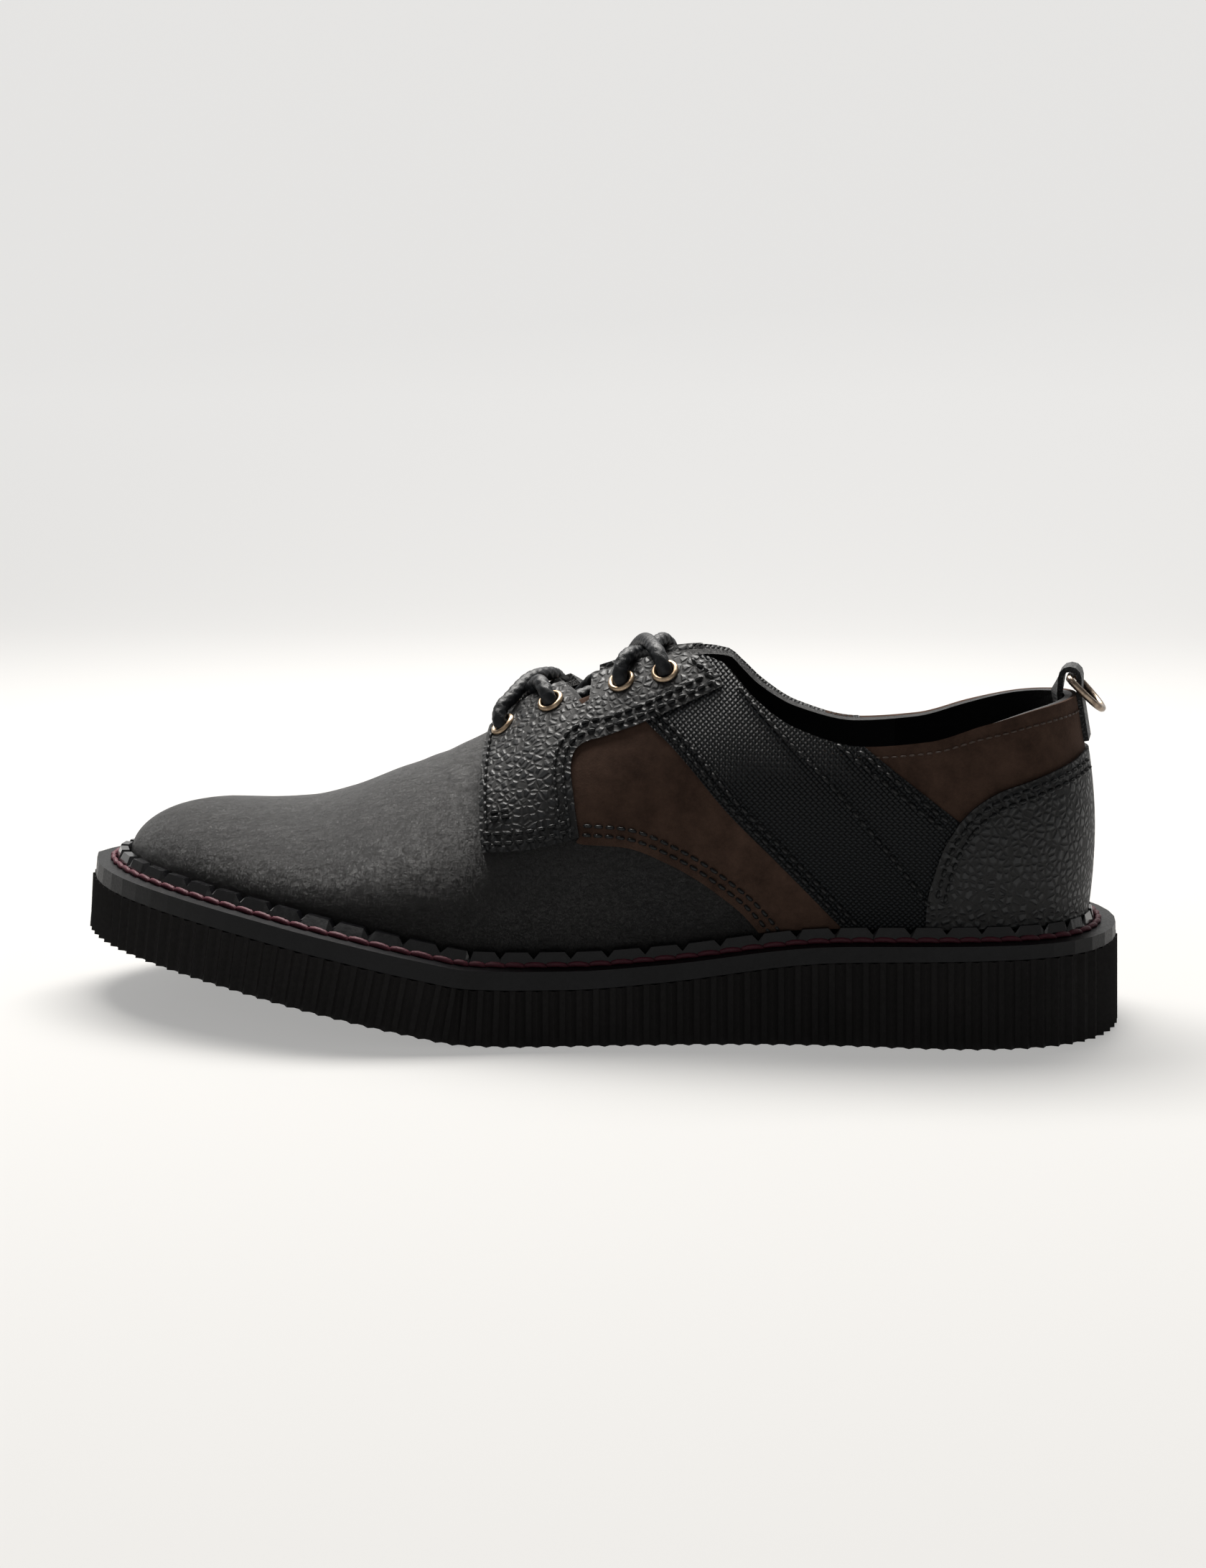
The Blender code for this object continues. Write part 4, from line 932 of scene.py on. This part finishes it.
def make_panel(node, surface, slot, sides, outline, columns, rows, outer, reach, cutter):
    """A cover cut from the upper's grid by its outline, and by the throat where a cutter is given."""
    obj = SKIN.layer(node + "_cover", [surface], sides, columns, rows, outer, COVER_FLOOR)
    shape = prism(obj.name + "_outline", outline, *reach)
    boolean(obj, "INTERSECT", shape)
    if cutter:
        boolean(obj, "DIFFERENCE", cutter)
    settled(obj)
    bpy.data.objects.remove(shape)
    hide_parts(node)
    rounded_edges(obj, COVER_EDGE)
    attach(obj, "shoe")
    return obj


def make_panels(cutter):
    made = []
    for kind, surface, slot, outline, first, last, outer, cut in PANELS:
        for name, side in SIDES.items():
            columns = (0 if first is None else SKIN.column(first), SKIN.column(last) + 1)
            reach = (-BALL_WIDTH, -MIDDLE_Y) if side < 0 else (-MIDDLE_Y, BALL_WIDTH)
            made.append(make_panel(
                f"{kind}_{name}", surface, slot, [name], outline, columns, (2, GRID_ROWS), outer, reach,
                cutter if cut else None,
            ))
    made.append(make_panel(
        "counter", PEBBLED, "pebbled_leather", list(SIDES), COUNTER_EDGE, (0, SKIN.column(0.235)),
        (2, GRID_ROWS - 3), COUNTER_THICKNESS + COUNTER_LIFT, (-BALL_WIDTH, BALL_WIDTH), None,
    ))
    return made


def make_upper(cutter):
    """The lasted shell: rough lining in the heel, smooth lining from there on."""
    rough = SKIN.column(0.205)
    surfaces = [LEATHER, ROUGH_LINING, LINING]
    columns = (0, SKIN.last)
    rows = (0, GRID_ROWS)
    upper = SKIN.layer("upper_skin", surfaces, list(SIDES), columns, rows, 0.0, -UPPER_WALL,
                       lambda c: 1 if c < rough else 2)
    settled(boolean(upper, "DIFFERENCE", cutter))
    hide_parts("upper")
    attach(upper, "shoe")
    return upper


CUTTER = throat_cutter()
COVERS = make_panels(CUTTER)
UPPER = make_upper(CUTTER)
bpy.data.objects.remove(CUTTER)


# Sole pieces and tab, with softened edges

SOFTENED = (
    # node, surface, width of its rounded edges
    ("outsole", RUBBER, 0.00018),
    ("midsole", BAND, 0.0007),
    ("welt", WELT, 0.0004),
    ("insole", LINING, 0.0004),
    ("pull_tab", TAB_LEATHER, 0.0003),
)
for _node, _surface, _width in SOFTENED:
    _obj = FRAME["nodes"][_node]
    _obj.data.materials.clear()
    _obj.data.materials.append(_surface)
    rounded_edges(_obj, _width, 3, 28)


# Tongue

def make_tongue():
    room = LACE_DIAMETER + 4 * CLEARANCE
    room_share = track(LACE_ROOM)
    row_share = track(TONGUE_ROWS)
    low = TONGUE_ROWS[0][0]
    top = TONGUE_ROWS[-1][0]
    rings = []
    for along in np.linspace(TONGUE_COLUMNS[0], TONGUE_COLUMNS[-1], 48).tolist():
        row = []
        edges = []
        for name, side in SIDES.items():
            part = foot_distance(side, along)
            rib = Rib(side, part)
            line = []
            for t in np.linspace(low, top, 14).tolist():
                depth = UPPER_WALL + TONGUE_GAP + room * float(row_share(t) * room_share(along))
                normal = surface_normal(side, part, t)
                line.append((rib.point(t) - depth * normal, normal))
            edges.append((rib.top, surface_normal(side, part, 1.0)))
            row.append(line)
        normal = (edges[0][1] + edges[1][1]).normalized()
        depth = UPPER_WALL + TONGUE_GAP + room * float(room_share(along))
        centre = ((edges[0][0] + edges[1][0]) / 2 - depth * normal, normal)
        bridge = [[], []]
        for s in (0, 1):
            end = row[s][-1]
            for k in range(1, 6):
                share = k / 6
                bridge[s].append((end[0].lerp(centre[0], share), end[1].lerp(normal, share).normalized()))
        rings.append(row[0] + bridge[0] + [centre] + bridge[1][::-1] + row[1][::-1])
    count = len(rings[0])
    points = [p for ring in rings for p, _ in ring]
    points += [p - TONGUE_THICKNESS * n for ring in rings for p, n in ring]
    size = len(points) // 2
    faces = []
    for i in range(len(rings) - 1):
        for j in range(count - 1):
            a, b, c, d = i * count + j, i * count + j + 1, (i + 1) * count + j + 1, (i + 1) * count + j
            faces.append((a, b, c, d))
            faces.append((d + size, c + size, b + size, a + size))
    rim = [i * count for i in range(len(rings))] + [(len(rings) - 1) * count + j for j in range(1, count)]
    rim += [i * count + count - 1 for i in range(len(rings) - 2, -1, -1)] + list(range(count - 2, 0, -1))
    for k, i in enumerate(rim):
        j = rim[(k + 1) % len(rim)]
        faces.append((i, j, j + size, i + size))
    tongue = add_mesh("tongue_padded", points, faces, [PEBBLED])
    bm = bmesh.new()
    bm.from_mesh(tongue.data)
    bmesh.ops.recalc_face_normals(bm, faces=bm.faces[:])
    bm.to_mesh(tongue.data)
    bm.free()
    tongue.data.shade_smooth()
    tongue.data.set_sharp_from_angle(angle=math.radians(50))
    return tongue


TONGUE = rounded_edges(make_tongue(), 0.0006)
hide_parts("tongue")
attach(TONGUE, "shoe")


# Eyelets

def make_eyelets():
    depth = EYESTAY_THICKNESS + UPPER_WALL + 2 * CLEARANCE
    profile = [
        (EYELET_RADIUS - 0.0001, CLEARANCE), (EYELET_BARREL, CLEARANCE), (EYELET_BARREL, -depth),
        (EYELET_BORE, -depth),
    ]
    middle = (EYELET_BORE + EYELET_RADIUS) / 2
    half = (EYELET_RADIUS - EYELET_BORE) / 2
    for k in range(9):
        angle = math.pi * k / 8
        profile.append((middle - half * math.cos(angle), CLEARANCE + 0.0001 + 0.0009 * math.sin(angle)))
    points = []
    faces = []
    for name in SIDES:
        for along, below in EYELETS:
            point, axis = facing_place(name, along, below)
            matrix = turned(axis)
            matrix.translation = point + (CLEARANCE + EYESTAY_THICKNESS) * axis
            start = len(points)
            count = len(profile)
            for i in range(EYELET_SEGMENTS):
                angle = 2 * math.pi * i / EYELET_SEGMENTS
                here = start + i * count
                ahead = start + (i + 1) % EYELET_SEGMENTS * count
                for radius, up in profile:
                    points.append(matrix @ Vector((radius * math.cos(angle), radius * math.sin(angle), up)))
                for j in range(count):
                    k = (j + 1) % count
                    faces.append((here + j, ahead + j, ahead + k, here + k))
    made = add_mesh("eyelet_rings", points, faces, [BRASS])
    made.data.shade_smooth()
    made.data.set_sharp_from_angle(angle=math.radians(45))
    return made


EYELET_RINGS = make_eyelets()
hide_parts(*[f"eyelet_{name}_{row + 1}" for name in SIDES for row in range(len(EYELETS))])
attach(EYELET_RINGS, "shoe")


# Lace: one braided cord through all the eyelets

ROUTE = (
    # facing and row it leaves, facing and row it reaches, outside or beneath, on top at the crossing
    (("lateral", 3), ("medial", 2), True, 1),
    (("medial", 2), ("lateral", 1), False, 0),
    (("lateral", 1), ("medial", 0), True, 0),
    (("medial", 0), ("lateral", 0), False, 0),
    (("lateral", 0), ("medial", 1), True, 1),
    (("medial", 1), ("lateral", 2), False, 1),
    (("lateral", 2), ("medial", 3), True, 0),
)


# Each hidden end: depth below the facing, then how far it runs back and down
LACE_TAIL = ((0.0055, 0.0, 0.0), (0.0068, 0.003, -0.001), (0.0072, 0.010, -0.004))


def strand(start, end, outside, on_top):
    radius = LACE_DIAMETER / 2
    if outside:
        over_eyelet = 4 * CLEARANCE + EYESTAY_THICKNESS + EYELET_DOME + radius
        over_edge = 3 * CLEARANCE + EYESTAY_THICKNESS + radius
        lift = CROSSING_RISE * on_top - CROWN_DROP
    else:
        over_eyelet = -(UPPER_WALL + 3 * CLEARANCE + radius)
        over_edge = over_eyelet
        lift = CROSSING_RISE * on_top
    sides = []
    for here, there in ((start, end), (end, start)):
        along, below = EYELETS[here[1]]
        toward = EYELETS[there[1]][0] - along
        eyelet, eyelet_normal = facing_place(here[0], along, below)
        middle, middle_normal = facing_place(here[0], along + 0.08 * toward, below / 2)
        edge, edge_normal = facing_place(here[0], along + 0.20 * toward, 0.0)
        bore = eyelet + (0.0 if outside else -UPPER_WALL) * eyelet_normal
        sides.append([
            bore,
            eyelet + 0.62 * over_eyelet * eyelet_normal,
            middle + (over_eyelet + over_edge) / 2 * middle_normal,
            edge + over_edge * edge_normal,
        ])
    crown = (sides[0][3] + sides[1][3]) / 2 + Vector((0, 0, lift))
    return sides[0] + [crown] + sides[1][::-1]


def lace_path():
    """Points about half a millimetre apart along the whole lace."""
    knots = []
    for start, end, outside, on_top in ROUTE:
        points = strand(start, end, outside, on_top)
        knots += points if not knots else points[1:]
    first, first_normal = facing_place("lateral", *EYELETS[3])
    last, last_normal = facing_place("medial", *EYELETS[3])
    for point, normal, front in ((first, first_normal, True), (last, last_normal, False)):
        tail = [point - depth * normal + Vector((x, 0, z)) for depth, x, z in LACE_TAIL]
        knots = tail[::-1] + knots if front else knots + tail
    knots = [np.array(k) for k in knots]
    knots = [2 * knots[0] - knots[1]] + knots + [2 * knots[-1] - knots[-2]]
    line = []
    for i in range(1, len(knots) - 2):
        before, start, end, after = knots[i - 1:i + 3]
        steps = max(3, int(np.linalg.norm(end - start) / LACE_STEP))
        spans = (before, start), (start, end), (end, after)
        gaps = [max(float(np.linalg.norm(b - a)), 1e-6) ** 0.5 for a, b in spans]
        t0, t1, t2, t3 = 0.0, gaps[0], gaps[0] + gaps[1], sum(gaps)
        for k in range(steps):
            t = t1 + (t2 - t1) * k / steps
            a1 = (t1 - t) / (t1 - t0) * before + (t - t0) / (t1 - t0) * start
            a2 = (t2 - t) / (t2 - t1) * start + (t - t1) / (t2 - t1) * end
            a3 = (t3 - t) / (t3 - t2) * end + (t - t2) / (t3 - t2) * after
            b1 = (t2 - t) / (t2 - t0) * a1 + (t - t0) / (t2 - t0) * a2
            b2 = (t3 - t) / (t3 - t1) * a2 + (t - t1) / (t3 - t1) * a3
            line.append((t2 - t) / (t2 - t1) * b1 + (t - t1) / (t2 - t1) * b2)
    line.append(knots[-2])
    return np.array(line)


def make_lace():
    path = lace_path()
    run = np.concatenate([[0], np.cumsum(np.linalg.norm(np.diff(path, axis=0), axis=1))])
    ahead = np.gradient(path, axis=0)
    ahead /= np.linalg.norm(ahead, axis=1, keepdims=True)
    sides = LACE_SIDES
    up = np.cross(ahead[0], [0, 1, 0])
    points = []
    for i in range(len(path)):
        up = up - (up @ ahead[i]) * ahead[i]
        up /= np.linalg.norm(up)
        across = np.cross(ahead[i], up)
        for k in range(sides):
            angle = 2 * math.pi * k / sides
            twist = run[i] / BRAID_PITCH * 2 * math.pi
            braid = max(math.sin(4 * angle + twist), math.sin(4 * angle - twist))
            radius = LACE_DIAMETER / 2 + BRAID_DEPTH * (braid - 0.7)
            points.append(path[i] + radius * (math.cos(angle) * across + math.sin(angle) * up))
    faces = []
    for i in range(len(path) - 1):
        for k in range(sides):
            j = (k + 1) % sides
            faces.append((i * sides + k, i * sides + j, (i + 1) * sides + j, (i + 1) * sides + k))
    faces.append(tuple(range(sides))[::-1])
    faces.append(tuple((len(path) - 1) * sides + k for k in range(sides)))
    made = add_mesh("lace_braided", points, faces, [CORD])
    made.data.shade_smooth()
    return made, float(run[-1])


LACE, LACE_LENGTH = make_lace()
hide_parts("lace_cross_front", "lace_cross_rear", "lace_cross_inner", "lace_bar_front")
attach(LACE, "shoe")


# Ring

def make_ring():
    joint = next(j for j in FRAME["record"]["behaviour"]["joints"] if j["name"] == "ring_swing")
    centre = Vector(joint["pos_m"])
    along = Vector((math.sin(TAB_TWIST), math.cos(TAB_TWIST), 0))
    away = Vector((math.cos(TAB_TWIST), -math.sin(TAB_TWIST), 0))
    down = math.sin(RING_TILT) * away - math.cos(RING_TILT) * Vector((0, 0, 1))
    half = TAB_WIDTH / 2 + RING_PLAY + RING_WIRE / 2
    shoulder = RING_WIRE / 2
    outline = [(-half + shoulder + 2 * (half - shoulder) * i / 6, 0.0) for i in range(7)]
    for i in range(41):
        angle = math.pi * i / 40
        outline.append((half * math.cos(angle), shoulder + (RING_DROP - shoulder) * math.sin(angle)))
    curve = bpy.data.curves.new("pull_ring_wire", "CURVE")
    curve.dimensions = "3D"
    curve.bevel_depth = RING_WIRE / 2
    curve.bevel_resolution = 5
    spline = curve.splines.new("POLY")
    spline.points.add(len(outline) - 1)
    for point, (u, v) in zip(spline.points, outline):
        point.co = (*(centre + u * along + v * down), 1)
    spline.use_cyclic_u = True
    curve.materials.append(BRONZE)
    ring = bpy.data.objects.new("pull_ring_wire", curve)
    bpy.context.scene.collection.objects.link(ring)
    return ring


RING = make_ring()
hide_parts("pull_ring")
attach(RING, "ring")


# Stitches: threads laid on the covers, found from the side

def covers_tree():
    bpy.context.view_layer.update()
    graph = bpy.context.evaluated_depsgraph_get()
    points = []
    faces = []
    for obj in COVERS + [UPPER]:
        mesh = obj.evaluated_get(graph).to_mesh()
        start = len(points)
        points += [v.co.copy() for v in mesh.vertices]
        faces += [tuple(start + i for i in p.vertices) for p in mesh.polygons]
    return BVHTree.FromPolygons(points, faces)


TREE = covers_tree()


def laid(points, side):
    """Places and normals on the outer surface for seam points on one side."""
    line = []
    for share in points:
        x, z = side_place(share)
        hit, normal, _, _ = TREE.ray_cast(Vector((x, side * BALL_WIDTH, z)), Vector((0, -side, 0)))
        if hit is not None and side * hit.y > -0.012:
            line.append((hit, normal if normal.y * side > 0 or normal.z > 0 else -normal))
    return line


def shifted(points, gap):
    """The seam moved sideways by a gap in metres, as seen from the side."""
    moved = []
    spots = [side_place(p) for p in points]
    for i, spot in enumerate(spots):
        ahead = spots[min(i + 1, len(spots) - 1)] - spots[max(i - 1, 0)]
        ahead /= max(np.linalg.norm(ahead), 1e-9)
        moved_spot = spot + gap * np.array([-ahead[1], ahead[0]])
        along = (HEEL_X - moved_spot[0]) / SOLE_LENGTH
        moved.append((along, moved_spot[1] / seam_height(along)))
    return moved


# Rings of one stitch: share of its length, of its width and of its rise
STITCH_RINGS = (
    (0.0, 0.35, -0.6), (0.12, 0.85, 0.2), (0.35, 1.0, 0.75), (0.65, 1.0, 0.75), (0.88, 0.85, 0.2),
    (1.0, 0.35, -0.6),
)


class Threads:
    """Many short stitches gathered in one mesh."""

    def __init__(self, name, surface):
        self.name = name
        self.surface = surface
        self.points = []
        self.faces = []

    def stitch(self, start, end, normal, width, rise):
        ahead = (end - start)
        length = ahead.length
        if length < 1e-5:
            return
        ahead.normalize()
        across = normal.cross(ahead).normalized()
        up = ahead.cross(across)
        first = len(self.points)
        for share, size, high in STITCH_RINGS:
            centre = start + ahead * length * share + up * rise * high
            for k in range(6):
                angle = math.pi * (k + 0.5) / 3
                out = math.cos(angle) * across + math.sin(angle) * up
                self.points.append(centre + width / 2 * size * out)
        for i in range(5):
            ring = first + 6 * i
            for k in range(6):
                j = (k + 1) % 6
                self.faces.append((ring + k, ring + j, ring + 6 + j, ring + 6 + k))
        self.faces.append(tuple(first + k for k in range(5, -1, -1)))
        self.faces.append(tuple(first + 30 + k for k in range(6)))

    def row(self, line, pitch, gap, width, rise):
        """Stitches at an even pitch along a laid line."""
        if len(line) < 2:
            return
        spots = np.array([p for p, _ in line])
        normals = np.array([n for _, n in line])
        run = np.concatenate([[0], np.cumsum(np.linalg.norm(np.diff(spots, axis=0), axis=1))])
        count = int(run[-1] / pitch)
        for i in range(count):
            ends = [(i + gap / 2) * pitch, (i + 1 - gap / 2) * pitch]
            a, b = (Vector([float(np.interp(d, run, spots[:, k])) for k in range(3)]) for d in ends)
            middle = sum(ends) / 2
            normal = Vector([float(np.interp(middle, run, normals[:, k])) for k in range(3)])
            self.stitch(a, b, normal.normalized(), width, rise)

    def make(self):
        obj = add_mesh(self.name, self.points, self.faces, [self.surface])
        obj.data.shade_smooth()
        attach(obj, "shoe")
        return obj


BARTACK = ((0.578, 0.640), (0.556, 0.655))
FABRIC_MIDDLE = ((0.352, 1.04), (0.320, 0.93), (0.270, 0.77), (0.215, 0.56), (0.178, 0.40))
BLACK_ROWS = (
    # seam, gaps of its rows in millimetres, positive to the left of its run
    (EYESTAY_FRONT, (1.9,)),
    (EYESTAY_FOOT, (2.2, 4.6)),
    (EYESTAY_REAR, (2.2, 4.6)),
    (EYESTAY_BAND, (1.9, 4.2)),
    (EYESTAY_END, (1.9,)),
    (BARTACK, (0.0, 1.5)),
    (VAMP_SEAM[1:], (2.4, 4.8)),
    (FABRIC_FRONT, (1.8, 3.8)),
    (FABRIC_MIDDLE, (0.0,)),
    (FABRIC_REAR, (-1.8, -4.2)),
    (COUNTER_FRONT[:-1], (2.2, 4.4)),
    (COUNTER_TOP[:-1], (-2.2, -4.4)),
)


def make_stitches():
    black = Threads("seam_stitches", BLACK_THREAD)
    brown = Threads("collar_stitches", BROWN_THREAD)
    for side in SIDES.values():
        for points, gaps in BLACK_ROWS:
            for gap in gaps:
                line = laid(shifted(seam(points, 14), gap / 1000), side)
                black.row(line, STITCH_PITCH, 0.16, 0.00105, 0.00050)
        top = []
        for c in range(2, SKIN.column(0.292)):
            name = "lateral" if side < 0 else "medial"
            row = GRID_ROWS - 3
            i = SKIN.index[name, c, row]
            top.append((Vector(SKIN.points[i] + 0.0014 * SKIN.normals[i]), Vector(SKIN.normals[i])))
        brown.row(top, TOP_STITCH_PITCH, 0.25, 0.00055, 0.00015)
    black.make()
    brown.make()


make_stitches()


def make_welt_stitches():
    wine = Threads("welt_stitches", WINE_THREAD)
    inset = WELT_MARGIN - 0.0009
    count = round(OUTLINE_LENGTH / WELT_STITCH_PITCH)
    for i in range(count):
        ends = []
        for share, side in ((-0.55, -0.35), (0.55, 0.35)):
            distance = even_distance((i + share) / count)
            a, y = outline_point(distance, inset + side * 0.0011)
            ends.append(bent(a, y, midsole_top(a) + 0.0004))
        normal = Vector((0, 0, 1))
        wine.stitch(ends[0], ends[1], normal, 0.0016, 0.0004)
        mid = (ends[0] + ends[1]) / 2
        across = (ends[1] - ends[0]).normalized().cross(normal) * 0.0004
        wine.stitch(ends[0] + across, mid + across, normal, 0.0009, 0.0005)
    wine.make()


make_welt_stitches()


# Floor, light and camera

def make_stage():
    mesh = bpy.data.meshes.new("floor")
    size = 6.0
    bm = bmesh.new()
    profile = [(-size, 0.0), (1.2, 0.0)]
    for i in range(1, 13):
        angle = math.pi / 2 * i / 12
        profile.append((1.2 + 1.2 * math.sin(angle), 1.2 - 1.2 * math.cos(angle)))
    profile.append((2.4, 5.0))
    rows = [[bm.verts.new((x, y, z)) for y, z in profile] for x in (-size, size)]
    for i in range(len(profile) - 1):
        bm.faces.new((rows[0][i], rows[1][i], rows[1][i + 1], rows[0][i + 1]))
    bm.to_mesh(mesh)
    bm.free()
    mesh.shade_smooth()
    floor = bpy.data.objects.new("floor", mesh)
    made = Finish("paper", (0.27, 0.268, 0.263), 0.9, Specular_IOR_Level=0.03,
                  Emission_Color=(1.0, 0.992, 0.978, 1))
    depth = made.node("SeparateXYZ", {0: made.where}).outputs["Y"]
    made.into("Emission Strength", made.spread(depth, 0.35, 1.9, 0.36, 0.70))
    mesh.materials.append(made.material)
    bpy.context.scene.collection.objects.link(floor)


def area_light(name, where, aim, size, power, colour=(1, 1, 1)):
    data = bpy.data.lights.new(name, "AREA")
    data.shape = "RECTANGLE"
    data.size, data.size_y = size
    data.energy = power
    data.color = colour
    lamp = bpy.data.objects.new(name, data)
    lamp.location = where
    lamp.rotation_euler = (Vector(aim) - Vector(where)).to_track_quat("-Z", "Y").to_euler()
    bpy.context.scene.collection.objects.link(lamp)


make_stage()
WORLD = bpy.data.worlds.new("studio")
bpy.context.scene.world = WORLD
WORLD.use_nodes = True
WORLD.node_tree.nodes["Background"].inputs["Color"].default_value = (1.0, 0.99, 0.975, 1)
WORLD.node_tree.nodes["Background"].inputs["Strength"].default_value = 0.16
area_light("top_light", (-0.10, 0.45, 1.05), (0.0, 0.0, 0.05), (1.0, 0.5), 36.0, (1.0, 0.975, 0.94))
area_light("front_light", (-0.5, -1.1, 0.75), (0.0, 0.0, 0.05), (0.8, 0.5), 1.0, (1.0, 0.99, 0.98))

CAMERA = bpy.data.cameras.new("camera")
CAMERA.lens = CAMERA_LENS
CAMERA.sensor_width = 36.0
CAMERA.sensor_fit = "AUTO"
CAMERA.shift_y = CAMERA_SHIFT
CAMERA.clip_start = 0.01
CAMERA_OBJECT = bpy.data.objects.new("camera", CAMERA)
CAMERA_OBJECT.location = CAMERA_PLACE
CAMERA_OBJECT.rotation_euler = (math.pi / 2, 0, CAMERA_TURN)
bpy.context.scene.collection.objects.link(CAMERA_OBJECT)
bpy.context.scene.camera = CAMERA_OBJECT
bpy.context.scene.view_settings.view_transform = "Standard"
